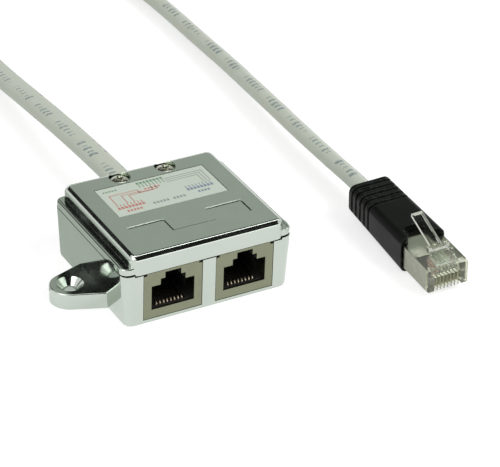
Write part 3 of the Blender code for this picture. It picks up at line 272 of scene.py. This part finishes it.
def handled_surface_group():
    """Cloudy finish, hair scratches and fine grain, for anything that hands have used."""
    tree, given, out = new_group("handled_surface", {"Cloud Scale": 60.0, "Grain Scale": 2500.0},
                                 ("Cloud", "Scratches", "Grain"))
    place = object_place(tree)
    cloud = add(tree, "ShaderNodeTexNoise", {"Vector": place, "Scale": given.outputs["Cloud Scale"],
                                             "Detail": 4.0, "Roughness": 0.6})
    grain = add(tree, "ShaderNodeTexNoise", {"Vector": place, "Scale": given.outputs["Grain Scale"],
                                             "Detail": 2.0})
    turned = add(tree, "ShaderNodeMapping", {"Vector": place, "Rotation": (0.3, 0.2, 0.7),
                                             "Scale": (1.0, 14.0, 3.0)})
    streak = add(tree, "ShaderNodeTexNoise", {"Vector": turned.outputs[0], "Scale": 220.0, "Detail": 3.0,
                                              "Roughness": 0.7})
    scratches = ramp(tree, streak.outputs["Fac"], 0.62, 0.72)
    for label, value in (("Cloud", cloud.outputs["Fac"]), ("Scratches", scratches),
                         ("Grain", grain.outputs["Fac"])):
        tree.links.new(value, out.inputs[label])
    return tree


def rubbed_and_lit_edge_group():
    """1 along edges that rub, 0 elsewhere; the colour laid there is both wear and a painted highlight."""
    tree, given, out = new_group("rubbed_and_lit_edge", {"Radius": 0.0004}, ("Wear",))
    rounded = add(tree, "ShaderNodeBevel", {"Radius": given.outputs["Radius"]}, samples=4)
    flat = tree.nodes.new("ShaderNodeNewGeometry")
    turn = add(tree, "ShaderNodeVectorMath", {0: rounded.outputs[0], 1: flat.outputs["Normal"]},
               operation="DOT_PRODUCT")
    edge = ramp(tree, turn.outputs["Value"], 0.985, 0.90)
    breaks = add(tree, "ShaderNodeTexNoise", {"Vector": object_place(tree), "Scale": 900.0, "Detail": 3.0})
    kept = ramp(tree, breaks.outputs["Fac"], 0.35, 0.65)
    tree.links.new(math_node(tree, "MULTIPLY", edge, kept), out.inputs["Wear"])
    return tree


LEAST_ROUGHNESS = 0.02
HANDLED = handled_surface_group()
RUBBED_AND_LIT_EDGE = rubbed_and_lit_edge_group()


def new_surface(name, colour, second, roughness, metallic=0.0, clouds=60.0, grain=2500.0, grain_depth=2e-6,
                rough_spread=0.12, scratch=0.08, wear=None, wear_and_sheen_colour=None, **sockets):
    """A finish with two mingled tones, uneven gloss and grain. Wear is the reach of rubbed edges, whose
    lighter colour is partly wear and partly a painted highlight.
    """
    material = bpy.data.materials.new(name)
    material.use_nodes = True
    tree = material.node_tree
    shader = tree.nodes["Principled BSDF"]
    marks = add(tree, "ShaderNodeGroup", node_tree=HANDLED)
    marks.inputs["Cloud Scale"].default_value = clouds
    marks.inputs["Grain Scale"].default_value = grain
    tone = mix_colour(tree, marks.outputs["Cloud"], colour, second)
    gloss = ramp(tree, marks.outputs["Cloud"], 0.3, 0.7, max(LEAST_ROUGHNESS, roughness - rough_spread / 2),
                 roughness + rough_spread / 2)
    rough = math_node(tree, "MULTIPLY_ADD", marks.outputs["Scratches"], scratch, gloss)
    if wear:
        edge = add(tree, "ShaderNodeGroup", node_tree=RUBBED_AND_LIT_EDGE)
        edge.inputs["Radius"].default_value = wear
        tone = mix_colour(tree, edge.outputs["Wear"], tone, wear_and_sheen_colour)
    tree.links.new(tone, shader.inputs["Base Color"])
    tree.links.new(rough, shader.inputs["Roughness"])
    bump = add(tree, "ShaderNodeBump", {"Height": marks.outputs["Grain"], "Strength": 1.0,
                                        "Distance": grain_depth})
    tree.links.new(bump.outputs[0], shader.inputs["Normal"])
    shader.inputs["Metallic"].default_value = metallic
    for label, value in sockets.items():
        shader.inputs[label.replace("_", " ")].default_value = value
    return material


def mix_colour(tree, factor, first, second):
    """A colour between first and second, each a colour or a socket."""
    mix = tree.nodes.new("ShaderNodeMix")
    mix.data_type = "RGBA"
    tree.links.new(factor, mix.inputs[0])
    for slot, value in ((6, first), (7, second)):
        if isinstance(value, bpy.types.NodeSocket):
            tree.links.new(value, mix.inputs[slot])
        else:
            mix.inputs[slot].default_value = (*value, 1.0)
    return mix.outputs[2]


# Finishes

PLATED = new_surface("bright_plating", (0.475, 0.535, 0.47), (0.55, 0.59, 0.545), 0.11, metallic=1.0,
                     clouds=110.0, grain=900.0, grain_depth=6e-6)
STEEL = new_surface("screw_steel", (0.50, 0.52, 0.42), (0.64, 0.65, 0.55), 0.2, metallic=1.0, clouds=500.0)
TINNED = new_surface("tinned_sheet", (0.205, 0.217, 0.142), (0.27, 0.283, 0.20), 0.34, metallic=1.0,
                     clouds=300.0)
SLEEVE = new_surface("plug_sleeve", (0.46, 0.485, 0.385), (0.55, 0.575, 0.475), 0.2, metallic=1.0,
                     clouds=300.0)
# The sleeve's upright sides in a darker colour: painted shade, with a little more roughness for rubbing.
SLEEVE_SHADED_SIDE = new_surface("plug_sleeve_shaded_side", (0.19, 0.20, 0.15), (0.37, 0.385, 0.31), 0.24, metallic=1.0,
                          clouds=420.0)
BLACK = new_surface("black_moulding", (0.020, 0.019, 0.018), (0.030, 0.028, 0.026), 0.4, clouds=300.0,
                    grain=3500.0, grain_depth=1e-5, Specular_IOR_Level=0.3)
GOLD = new_surface("gold_plate", (1.0, 0.80, 0.52), (1.0, 0.90, 0.68), 0.25, metallic=0.6, clouds=800.0)
PALE_GOLD = new_surface("blade_plate", (0.26, 0.25, 0.17), (0.38, 0.36, 0.26), 0.35, metallic=0.9,
                        clouds=800.0)
FOIL = new_surface("label_foil", (0.52, 0.585, 0.50), (0.57, 0.635, 0.55), 0.4, clouds=120.0)
BOARD = new_surface("circuit_board", (0.015, 0.10, 0.035), (0.02, 0.14, 0.05), 0.35, clouds=300.0)
TRACK = new_surface("board_track", (0.30, 0.33, 0.22), (0.40, 0.42, 0.32), 0.3, metallic=0.6, clouds=600.0)
# The boot's lighter rib edges are both rubbed wear and a painted highlight along the crests.
RUBBER = new_surface("boot_rubber", (0.0025, 0.0030, 0.0025), (0.0055, 0.0068, 0.0055), 0.34, clouds=200.0,
                     grain=3000.0, grain_depth=8e-6, wear=0.0006, wear_and_sheen_colour=(0.055, 0.061, 0.054),
                     Specular_IOR_Level=0.08)
CLEAR = new_surface("clear_moulding", (0.82, 0.85, 0.71), (0.89, 0.91, 0.80), 0.06, clouds=300.0,
                    rough_spread=0.04, scratch=0.06, Transmission_Weight=0.88, IOR=1.2)
LEVER = new_surface("clear_lever", (0.93, 0.94, 0.90), (0.96, 0.97, 0.94), 0.05, clouds=300.0,
                    rough_spread=0.04, scratch=0.06, Transmission_Weight=1.0, IOR=1.15)
# Milky edge faces of the clear lever: partly the matte edge of the moulding, partly a painted highlight for
# the light the lever carries to its edges.
MILKY_AND_LIT_EDGE = new_surface("milky_and_lit_edge", (0.80, 0.82, 0.74), (0.88, 0.90, 0.83), 0.25, clouds=300.0,
                      Transmission_Weight=0.35, IOR=1.45)
INKS = [new_surface(f"ink_{word}", colour, second, 0.5, clouds=1500.0) for word, colour, second in (
    ("red", (0.44, 0.13, 0.105), (0.56, 0.25, 0.20)), ("green", (0.12, 0.25, 0.14), (0.20, 0.33, 0.22)),
    ("blue", (0.13, 0.18, 0.27), (0.24, 0.30, 0.38)), ("grey", (0.24, 0.27, 0.25), (0.32, 0.35, 0.32)))]
CORE_COLOURS = [
    ((0.11, 0.022, 0.010), (0.46, 0.15, 0.08)), ((0.16, 0.035, 0.018), (0.50, 0.18, 0.11)),
    ((0.06, 0.013, 0.007), (0.24, 0.065, 0.035)), ((0.25, 0.34, 0.30), (0.50, 0.56, 0.52)),
    ((0.46, 0.53, 0.49), (0.03, 0.11, 0.075)), ((0.34, 0.43, 0.44), (0.56, 0.60, 0.60)),
    ((0.28, 0.36, 0.31), (0.52, 0.57, 0.54)), ((0.03, 0.012, 0.009), (0.08, 0.03, 0.02)),
]
CORES = [new_surface(f"core_{i + 1}", first, second, 0.4, clouds=500.0)
         for i, (first, second) in enumerate(CORE_COLOURS)]


def shade_towards_back(material, start, end, colour):
    """Darkens a finish towards a colour between two places along +Y: painted shade for deep parts that the
    light doesn't reach.
    """
    tree = material.node_tree
    shader = tree.nodes["Principled BSDF"]
    unshaded = shader.inputs["Base Color"].links[0].from_socket
    place = add(tree, "ShaderNodeSeparateXYZ", {0: object_place(tree)})
    depth = ramp(tree, place.outputs["Y"], start, end)
    tree.links.new(mix_colour(tree, depth, unshaded, colour), shader.inputs["Base Color"])


# The springs' gold darkens towards the back of the socket: painted shade.
SPRING_LIT_TO = -18.3 * MM
SPRING_SHADED_FROM = -17.75 * MM
shade_towards_back(GOLD, SPRING_LIT_TO, SPRING_SHADED_FROM, (0.03, 0.022, 0.015))

TICK_SPACING = 1.9 * MM
TICK_GROUP = 14.0 * MM
TICK_GROUP_FILL = 0.72
TICK_WIDTH = (0.20, 0.42)
TICK_REACH = 0.035
TICK_ROWS = (0.51, 0.265)


def tick_row(tree, run, turn, row):
    """1 on the ticks of one printed row, whose widths and heights vary. Widths are a least and a spread."""
    cell = math_node(tree, "MULTIPLY", run, 1 / TICK_SPACING)
    chance = add(tree, "ShaderNodeTexWhiteNoise", {"W": math_node(tree, "FLOOR", cell)},
                 noise_dimensions="1D").outputs["Value"]
    width = math_node(tree, "MULTIPLY_ADD", chance, TICK_WIDTH[1], TICK_WIDTH[0])
    bar = math_node(tree, "LESS_THAN", math_node(tree, "FRACT", cell), width)
    rise = math_node(tree, "MULTIPLY_ADD", chance, TICK_REACH, TICK_REACH)
    away = math_node(tree, "ABSOLUTE", math_node(tree, "SUBTRACT", turn, row))
    inside = math_node(tree, "LESS_THAN", away, rise)
    return math_node(tree, "MULTIPLY", bar, inside)


def printed_jacket(colour, second, ink):
    """The cable's jacket, with two rows of faded plain ticks printed along it."""
    material = new_surface("cable_jacket", colour, second, 0.40, clouds=160.0, grain=1800.0)
    tree = material.node_tree
    shader = tree.nodes["Principled BSDF"]
    plain = shader.inputs["Base Color"].links[0].from_socket
    place = add(tree, "ShaderNodeSeparateXYZ", {0: add(tree, "ShaderNodeUVMap", uv_map="run").outputs[0]})
    run, turn = place.outputs["X"], place.outputs["Y"]
    rows = [tick_row(tree, run, turn, row) for row in TICK_ROWS]
    gap = math_node(tree, "FRACT", math_node(tree, "MULTIPLY", run, 1 / TICK_GROUP))
    group = math_node(tree, "LESS_THAN", gap, TICK_GROUP_FILL)
    marks = math_node(tree, "MULTIPLY", math_node(tree, "MAXIMUM", *rows), group)
    worn = add(tree, "ShaderNodeTexNoise", {"Vector": object_place(tree), "Scale": 1500.0, "Detail": 3.0})
    faded = ramp(tree, worn.outputs["Fac"], 0.3, 0.6, 0.2, 0.85)
    shade = math_node(tree, "MULTIPLY", marks, faded)
    tree.links.new(mix_colour(tree, shade, plain, ink), shader.inputs["Base Color"])
    return material


JACKET = printed_jacket((0.49, 0.535, 0.445), (0.545, 0.59, 0.50), (0.13, 0.18, 0.21))


# Mesh helpers

FILLET_STEPS = 2
FILLET_FROM = math.radians(40.0)
SMOOTH_TO = 50.0
JOIN_DISTANCE = 1e-6
FLAT_WITHIN = math.radians(0.5)


def mesh_of(shape, name):
    """A mesh from a bmesh, which is freed."""
    mesh = bpy.data.meshes.new(name)
    shape.to_mesh(mesh)
    shape.free()
    return mesh


def plain_mesh(source):
    """The mesh of an object with its modifiers, which are then gone with the object."""
    bpy.context.view_layer.update()
    graph = bpy.context.evaluated_depsgraph_get()
    made = bpy.data.meshes.new_from_object(source.evaluated_get(graph))
    bpy.data.objects.remove(source)
    return made


def holder_of(mesh):
    """A working object round a mesh. It isn't a piece, and plain_mesh or cut_away takes it away again."""
    holder = bpy.data.objects.new(mesh.name, mesh)
    SCENE.collection.objects.link(holder)
    return holder


def cut_away(mesh, cutter):
    """The mesh without what the closed cutter fills."""
    holder, tool = holder_of(mesh), holder_of(cutter)
    change = holder.modifiers.new("cut", "BOOLEAN")
    change.operation = "DIFFERENCE"
    change.solver = "EXACT"
    change.object = tool
    made = plain_mesh(holder)
    bpy.data.objects.remove(tool)
    return made


def filleted(mesh, radius):
    """The mesh with small rounds on its hard edges."""
    holder = holder_of(mesh)
    bevel = holder.modifiers.new("fillet", "BEVEL")
    bevel.width = radius
    bevel.segments = FILLET_STEPS
    bevel.limit_method = "ANGLE"
    bevel.angle_limit = FILLET_FROM
    return plain_mesh(holder)


def smooth_shaded(mesh, sharp=SMOOTH_TO):
    """The mesh shaded smooth across edges that turn less than sharp, with its broad faces kept flat."""
    mesh.shade_smooth()
    mesh.set_sharp_from_angle(angle=math.radians(sharp))
    holder = holder_of(mesh)
    weigh = holder.modifiers.new("flat_faces", "WEIGHTED_NORMAL")
    weigh.keep_sharp = True
    return plain_mesh(holder)


def add_piece(name, mesh, material, body, node=None):
    """Links a finished mesh that rides on a body, in place of a CAD node where one is given."""
    mesh.materials.append(material)
    piece = bpy.data.objects.new(name, mesh)
    SCENE.collection.objects.link(piece)
    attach(piece, body)
    if node:
        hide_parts(node)
    return piece


def finished(node, name, material, fillet=0.0, change=None, cutter=None):
    """A copy of a CAD solid with joined faces, small fillets on its hard edges and smooth shading."""
    shape = bmesh.new()
    shape.from_mesh(NODES[node].data)
    bmesh.ops.remove_doubles(shape, verts=shape.verts, dist=JOIN_DISTANCE)
    bmesh.ops.dissolve_limit(shape, angle_limit=FLAT_WITHIN, verts=shape.verts, edges=shape.edges)
    if change:
        change(shape)
    mesh = mesh_of(shape, name)
    if cutter:
        mesh = cut_away(mesh, cutter)
    if fillet:
        mesh = filleted(mesh, fillet)
    return add_piece(name, smooth_shaded(mesh), material, NODES[node]["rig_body"], node)


def box_list_mesh(name, boxes):
    """Closed boxes from (low corner, high corner, material index)."""
    shape = bmesh.new()
    for low, high, slot in boxes:
        low, high = Vector(low), Vector(high)
        made = bmesh.ops.create_cube(shape, size=1.0)["verts"]
        bmesh.ops.scale(shape, vec=high - low, verts=made)
        bmesh.ops.translate(shape, vec=(low + high) / 2, verts=made)
        for face in {face for vertex in made for face in vertex.link_faces}:
            face.material_index = slot
    return mesh_of(shape, name)


# Housing

LABEL_TOP = 19.95 * MM
INK_HEIGHT = 0.008 * MM
LINE = 0.26
PINS = 8
PIN_PITCH = 0.97
STEM_INSET = 0.2
RED, GREEN, BLUE, GREY = range(4)


def mark_row(x, y, pitch, count, width, height, colour):
    """Equal marks side by side, from x to the right."""
    return [(x + i * pitch, y, x + i * pitch + width, y + height, colour) for i in range(count)]


def stems(x, low, high, colour):
    """Thin lines that stand over or under eight marks."""
    return mark_row(x + STEM_INSET, low, PIN_PITCH, PINS, LINE, high - low, colour)


def wiring_marks():
    """A plain wiring picture: three rows of contact marks and the lines that join them, in millimetres."""
    marks = mark_row(-14.0, 2.3, PIN_PITCH, PINS, 0.72, 1.1, RED) + stems(-14.0, 3.6, 4.6, RED)
    marks += mark_row(-12.3, 0.5, 0.9, 5, 0.6, 0.9, RED)
    marks += mark_row(-4.4, 11.7, PIN_PITCH, PINS, 0.72, 1.0, GREEN) + stems(-4.4, 10.0, 11.5, GREEN)
    marks += mark_row(6.2, 3.4, PIN_PITCH, PINS, 0.72, 1.1, BLUE) + stems(6.2, 4.7, 5.8, BLUE)
    marks += mark_row(8.4, 1.5, 0.9, 4, 0.6, 0.9, BLUE)
    marks += mark_row(-4.6, 1.2, 0.95, 5, 0.65, 1.0, GREY) + mark_row(1.1, 1.2, 0.95, 4, 0.65, 1.0, GREY)
    for x, top, end in ((-13.6, 9.3, -5.6), (-10.6, 8.3, -4.6), (-8.7, 7.7, -1.7)):
        marks.append((x, 4.6, x + LINE, top, RED))
        marks.append((x, top, end, top + LINE, RED))
    marks += [(-5.6, 7.9, -5.6 + LINE, 9.55, RED), (-5.6, 7.9, -0.2, 7.9 + LINE, RED),
              (-1.7, 7.7, -1.7 + LINE, 10.0, RED), (-0.4, 7.9, -0.4 + LINE, 10.0, RED)]
    marks += mark_row(-3.6, 8.6, 0.95, 5, 0.6, 0.7, RED)
    for x, top in ((13.9, 11.4), (12.95, 10.5), (12.0, 9.6)):
        marks.append((x, 5.8, x + LINE, top, GREY))
        marks.append((3.2, top, x + LINE, top + LINE, GREY))
    marks += mark_row(-14.2, 11.3, 0.85, 5, 0.55, 0.6, GREEN)
    return marks


def add_label_print():
    boxes = [((x0 * MM, y0 * MM, LABEL_TOP), (x1 * MM, y1 * MM, LABEL_TOP + INK_HEIGHT), colour)
             for x0, y0, x1, y1, colour in wiring_marks()]
    marks = add_piece("label_marks", box_list_mesh("label_marks", boxes), INKS[0], "adapter")
    for ink in INKS[1:]:
        marks.data.materials.append(ink)


PANEL_FLOOR = 19.7 * MM
PANEL_BACK = -6.2 * MM
PANEL_LEAN = 0.09 * MM
PANEL_NEAR = 0.01 * MM


def lean_panel_backs(shape):
    """Leans the back walls of the two sunk panels, as a casting needs them to come out of its mould."""
    for vertex in shape.verts:
        if max(abs(vertex.co.z - PANEL_FLOOR), abs(vertex.co.y - PANEL_BACK)) < PANEL_NEAR:
            vertex.co.y -= PANEL_LEAN


CROSS_LENGTH = 3.1 * MM
CROSS_WIDTH = 0.85 * MM
CROSS_DEPTH = 1.0 * MM
CROSS_RISE = 0.05 * MM
CROSS_TAPER = 0.6
HEAD_RADIUS = 2.6 * MM
HEAD_HEIGHT = 1.4 * MM
HEAD_DOME = 0.85 * MM
HEAD_ROUND = 0.05 * MM
HEAD_STEPS = 8
HEAD_SIDES = 48
HEAD_SMOOTH_TO = 35.0
SHANK_CORE = 1.15 * MM
SHANK_CREST = 1.44 * MM
NECK_HEIGHT = 0.4 * MM
TIP_HEIGHT = 1.2 * MM
THREAD_TOP_GAP = 0.8 * MM
THREAD_PITCH = 0.7 * MM
THREAD_HALF = 0.3
THREAD_STEPS = 20
SINK = 0.05 * MM


def turned_mesh(name, profile):
    """A closed shape turned about +Z. The profile runs from one point on the axis to another."""
    shape = bmesh.new()
    rings = []
    for radius, height in profile:
        if radius:
            angles = [2 * math.pi * i / HEAD_SIDES for i in range(HEAD_SIDES)]
            rings.append([shape.verts.new((radius * math.cos(angle), radius * math.sin(angle), height))
                          for angle in angles])
        else:
            rings.append([shape.verts.new((0.0, 0.0, height))] * HEAD_SIDES)
    for upper, lower in zip(rings, rings[1:]):
        for i in range(HEAD_SIDES):
            n = (i + 1) % HEAD_SIDES
            corners = dict.fromkeys((upper[i], upper[n], lower[n], lower[i]))
            shape.faces.new(list(corners))
    bmesh.ops.recalc_face_normals(shape, faces=shape.faces)
    return mesh_of(shape, name)


def cross_recess(head_top):
    """A cross outline that narrows downwards, to cut into a screw head."""
    arm, half = CROSS_LENGTH / 2, CROSS_WIDTH / 2
    outline = [(arm, -half), (arm, half), (half, half), (half, arm), (-half, arm), (-half, half),
               (-arm, half), (-arm, -half), (-half, -half), (-half, -arm), (half, -arm), (half, -half)]
    count = len(outline)
    points = [(x, y, head_top + CROSS_RISE) for x, y in outline]
    points += [(x * CROSS_TAPER, y * CROSS_TAPER, head_top - CROSS_DEPTH) for x, y in outline]
    sides = [(i, i + count, (i + 1) % count + count, (i + 1) % count) for i in range(count)]
    mesh = bpy.data.meshes.new("cross_recess")
    mesh.from_pydata(points, [], [tuple(range(count)), tuple(reversed(range(count, 2 * count))), *sides])
    return mesh


def thread_mesh(name, low, high):
    """A helical ridge round a shank, which runs out at both ends."""
    shape = bmesh.new()
    count = round((high - low) / THREAD_PITCH * THREAD_STEPS)
    rows = []
    for i in range(count + 1):
        angle = 2 * math.pi * i / THREAD_STEPS
        height = low + (high - low) * i / count
        run_out = min(1.0, i / THREAD_STEPS, (count - i) / THREAD_STEPS)
        reach = SHANK_CORE + (SHANK_CREST - SHANK_CORE) * run_out
        out = Vector((math.cos(angle), math.sin(angle), 0.0))
        middle = Vector((0.0, 0.0, height))
        lift = Vector((0.0, 0.0, THREAD_PITCH * THREAD_HALF))
        foot = middle + out * (SHANK_CORE - SINK)
        rows.append([shape.verts.new(foot - lift), shape.verts.new(middle + out * reach),
                     shape.verts.new(foot + lift)])
    for first, second in zip(rows, rows[1:]):
        for i in range(3):
            n = (i + 1) % 3
            shape.faces.new((first[i], first[n], second[n], second[i]))
    shape.faces.new(rows[0])
    shape.faces.new(rows[-1])
    bmesh.ops.recalc_face_normals(shape, faces=shape.faces)
    return mesh_of(shape, name)


def add_screw(word):
    """A pan head with a tapered cross recess on a threaded shank."""
    low, high = (Vector(corner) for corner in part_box(f"cover_screw_{word}"))
    top, under = high.z, high.z - HEAD_HEIGHT
    angles = [math.pi / 2 * i / HEAD_STEPS for i in range(HEAD_STEPS + 1)]
    dome = [(HEAD_RADIUS * math.sin(angle), top - HEAD_DOME * (1 - math.cos(angle))) for angle in angles]
    profile = dome + [(HEAD_RADIUS, under), (SHANK_CREST, under), (SHANK_CORE, under - NECK_HEIGHT),
                      (SHANK_CORE, low.z + TIP_HEIGHT), (0.0, low.z)]
    body = filleted(cut_away(turned_mesh("screw", profile), cross_recess(top)), HEAD_ROUND)
    thread = thread_mesh("thread", low.z + TIP_HEIGHT, under - THREAD_TOP_GAP)
    place = Matrix.Translation(((low.x + high.x) / 2, (low.y + high.y) / 2, 0.0))
    for mesh in (body, thread):
        mesh.transform(place)
    body = smooth_shaded(body, HEAD_SMOOTH_TO)
    add_piece(f"lid_screw_{word}", body, STEEL, "adapter", f"cover_screw_{word}")
    add_piece(f"lid_screw_thread_{word}", thread, STEEL, "adapter")


TRACKS = 16
TRACK_INSET = 3.0 * MM
TRACK_WIDTH = 0.35 * MM
TRACK_TOP = 0.035 * MM
TRACK_START = 2.0 * MM
BEND_START = 3.0
BEND_STEP = 0.8
TRACK_GATHER = 0.25
PAD_FRONT, PAD_BACK = 1.2 * MM, 2.1 * MM
PAD_LEFT, PAD_RIGHT = 0.3 * MM, 0.65 * MM
PAD_TOP = 0.12 * MM


def add_board_tracks():
    """A row of solder pads on the board, each with a bent track that leads towards the middle."""
    low, high = (Vector(corner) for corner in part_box("circuit_board"))
    step = (high.x - low.x - 2 * TRACK_INSET) / (TRACKS - 1)
    tracks = []
    for i in range(TRACKS):
        x = low.x + TRACK_INSET + i * step
        bend = low.y + (BEND_START + BEND_STEP * (i % 8)) * MM
        tracks.append(((x, low.y + TRACK_START, high.z), (x + TRACK_WIDTH, bend, high.z + TRACK_TOP), 0))
        tracks.append(((x - PAD_LEFT, low.y + PAD_FRONT, high.z),
                       (x + PAD_RIGHT, low.y + PAD_BACK, high.z + PAD_TOP), 0))
        left, right = sorted((x, x * TRACK_GATHER))
        tracks.append(((left, bend, high.z),
                       (right + TRACK_WIDTH, bend + TRACK_WIDTH, high.z + TRACK_TOP), 0))
    add_piece("board_tracks", box_list_mesh("board_tracks", tracks), TRACK, "adapter")


def add_housing():
    finished("base_housing", "tray", PLATED, 0.14 * MM)
    finished("cover", "lid", PLATED, 0.07 * MM, change=lean_panel_backs)
    finished("label", "label_sheet", FOIL, 0.03 * MM)
    add_label_print()
    for word in ("left", "right"):
        add_screw(word)
    finished("circuit_board", "board", BOARD, 0.05 * MM)
    add_board_tracks()


# Sockets

SHIELD_FRONT = -19.8 * MM
SHIELD_FRONT_FLUSH = -20.18 * MM
SHIELD_NEAR = 0.02 * MM


def bring_face_forward(shape):
    """Brings a socket shield's front face level with the casting round it."""
    for vertex in shape.verts:
        if abs(vertex.co.y - SHIELD_FRONT) < SHIELD_NEAR:
            vertex.co.y = SHIELD_FRONT_FLUSH


def add_sockets():
    for word in ("left", "right"):
        finished(f"jack_{word}_shield", f"socket_can_{word}", TINNED, 0.07 * MM, change=bring_face_forward)
        finished(f"jack_{word}_body", f"socket_core_{word}", BLACK, 0.09 * MM)
        for i in range(1, 9):
            finished(f"jack_{word}_contact_{i}", f"socket_spring_{word}_{i}", GOLD)
    for i in range(1, 9):
        finished(f"board_wire_{i}", f"board_core_{i}", CORES[i - 1])


# Cable

def smooth_route(route, spacing):
    """Points at an even spacing along a smooth curve through the route."""
    stations = [Vector(point) for point in route]
    padded = [2 * stations[0] - stations[1], *stations, 2 * stations[-1] - stations[-2]]
    fine = []
    for p0, p1, p2, p3 in zip(padded, padded[1:], padded[2:], padded[3:]):
        for i in range(CABLE_STEPS):
            t = i / CABLE_STEPS
            fine.append(0.5 * (2 * p1 + (p2 - p0) * t + (2 * p0 - 5 * p1 + 4 * p2 - p3) * t ** 2
                               + (3 * p1 - p0 - 3 * p2 + p3) * t ** 3))
    fine.append(stations[-1])
    walked = [0.0]
    for a, b in zip(fine, fine[1:]):
        walked.append(walked[-1] + (b - a).length)
    count = round(walked[-1] / spacing)
    picked, j = [], 0
    for i in range(count + 1):
        goal = walked[-1] * i / count
        while j < len(fine) - 2 and walked[j + 1] < goal:
            j += 1
        share = (goal - walked[j]) / (walked[j + 1] - walked[j])
        picked.append(fine[j].lerp(fine[j + 1], min(1.0, share)))
    return picked


def oval_section(sides):
    """Points round the cable's flat oval, and the share of the way round at each, with 1 at the end."""
    radius = CABLE_THICKNESS / 2
    reach = (CABLE_WIDTH - CABLE_THICKNESS) / 2
    half = sides // 2
    ring = []
    for side, start in ((1, -math.pi / 2), (-1, math.pi / 2)):
        for i in range(half):
            angle = start + math.pi * i / (half - 1)
            ring.append(Vector((side * reach + radius * math.cos(angle), radius * math.sin(angle))))
    steps = [(b - a).length for a, b in zip(ring, ring[1:] + ring[:1])]
    shares = [sum(steps[:i]) / sum(steps) for i in range(len(steps) + 1)]
    return ring, shares


def add_cable():
    """The flat oval cable, turned about its own axis while it comes round, with lengthwise UVs."""
    path = smooth_route(CABLE_ROUTE, CABLE_RING_SPACING)
    section, shares = oval_section(CABLE_SIDES)
    twist_start, twist_end = CABLE_TWIST_SPAN
    shape = bmesh.new()
    length_layer = shape.loops.layers.uv.new("run")
    walked, rows, runs = 0.0, [], []
    for i, place in enumerate(path):
        walked += (place - path[i - 1]).length if i else 0.0
        along = (path[min(i + 1, len(path) - 1)] - path[max(i - 1, 0)]).normalized()
        side = along.cross(Vector((0, 0, 1))).normalized()
        up = side.cross(along).normalized()
        share = min(1.0, max(0.0, (walked - twist_start) / (twist_end - twist_start)))
        tilt = -CABLE_TWIST * (3 * share ** 2 - 2 * share ** 3)
        wide = side * math.cos(tilt) + up * math.sin(tilt)
        thin = up * math.cos(tilt) - side * math.sin(tilt)
        rows.append([shape.verts.new(place + wide * x + thin * y) for x, y in section])
        runs.append(walked)
    count = len(section)
    for i in range(len(rows) - 1):
        for k in range(count):
            n = (k + 1) % count
            face = shape.faces.new((rows[i][k], rows[i][n], rows[i + 1][n], rows[i + 1][k]))
            for loop, (run, turn) in zip(face.loops, ((runs[i], k), (runs[i], k + 1), (runs[i + 1], k + 1),
                                                      (runs[i + 1], k))):
                loop[length_layer].uv = (run, shares[turn])
    shape.faces.new(rows[0])
    shape.faces.new(rows[-1])
    bmesh.ops.recalc_face_normals(shape, faces=shape.faces)
    mesh = mesh_of(shape, "patch_cable")
    mesh.shade_smooth()
    mesh.set_sharp_from_angle(angle=math.radians(60))
    return add_piece("patch_cable", mesh, JACKET, "adapter", "cable"), path


# Plug

def paint_faces(piece, material, chosen):
    """Gives the faces that chosen(centre, normal) picks in the plug's frame a finish of their own."""
    piece.data.materials.append(material)
    to_plug = PLUG_POSE.inverted()
    turn = to_plug.to_3x3()
    for face in piece.data.polygons:
        if chosen(to_plug @ face.center, turn @ face.normal):
            face.material_index = len(piece.data.materials) - 1


SIDE_FACING = 0.9
EDGE_FACING = 0.6
SHOULDER_START = 4.6 * MM
TIP_START = 16.0 * MM


def is_shaded_sleeve_side(centre, normal):
    """The two upright outer sides, given a darker colour than the top as painted shade, and a little more
    roughness for rubbing in sockets.
    """
    return abs(normal.x) > SIDE_FACING and normal.x * centre.x > 0


def is_lever_edge(centre, normal):
    """Outer side faces, the shoulder's front and the tip, but not the walls of the grooves or the root."""
    outward = abs(normal.x) > EDGE_FACING and normal.x * centre.x > 0
    tip = normal.y > EDGE_FACING and centre.y > TIP_START
    return centre.y > SHOULDER_START and (outward or normal.y < -EDGE_FACING or tip)


RIBS = 5
FIRST_RIB = 32.5 * MM
RIB_PITCH = 2.3 * MM
SLIT_REACH = (1.1 * MM, 4.6 * MM)
SLIT_WIDTH = 0.6 * MM
SLIT_FLOOR = 7.5 * MM
SLIT_TOP = 10.0 * MM


def boot_slits():
    """Short slits along the boot's top ribs, by turns on the right and on the left."""
    boxes = []
    for i in range(RIBS):
        y = FIRST_RIB + i * RIB_PITCH
        near, far = SLIT_REACH
        left, right = (near, far) if i % 2 == 0 else (-far, -near)
        boxes.append(((left, y - SLIT_WIDTH / 2, SLIT_FLOOR), (right, y + SLIT_WIDTH / 2, SLIT_TOP), 0))
    mesh = box_list_mesh("boot_slits", boxes)
    mesh.transform(PLUG_POSE)
    return mesh


def add_plug():
    lever = finished("plug_latch", "plug_lever", LEVER, 0.1 * MM)
    # The lever's outer edges get the milky finish: partly matte moulding, partly painted highlight.
    paint_faces(lever, MILKY_AND_LIT_EDGE, is_lever_edge)
    body = finished("plug_body", "plug_moulding", CLEAR, 0.07 * MM)
    shield = finished("plug_shield", "plug_sleeve", SLEEVE, 0.05 * MM)
    # The sleeve's upright sides get the darker copy: painted shade.
    paint_faces(shield, SLEEVE_SHADED_SIDE, is_shaded_sleeve_side)
    pieces = [
        lever, body, shield,
        finished("plug_boot", "boot", RUBBER, 0.12 * MM, cutter=boot_slits()),
    ]
    for i in range(1, 9):
        pieces.append(finished(f"plug_contact_{i}", f"plug_blade_{i}", PALE_GOLD, 0.03 * MM))
        pieces.append(finished(f"plug_wire_{i}", f"plug_core_{i}", CORES[i - 1]))
    return pieces


def main():
    add_camera()
    cable, path = add_cable()
    add_studio()
    add_housing()
    add_sockets()
    on_cable = add_plug()


main()
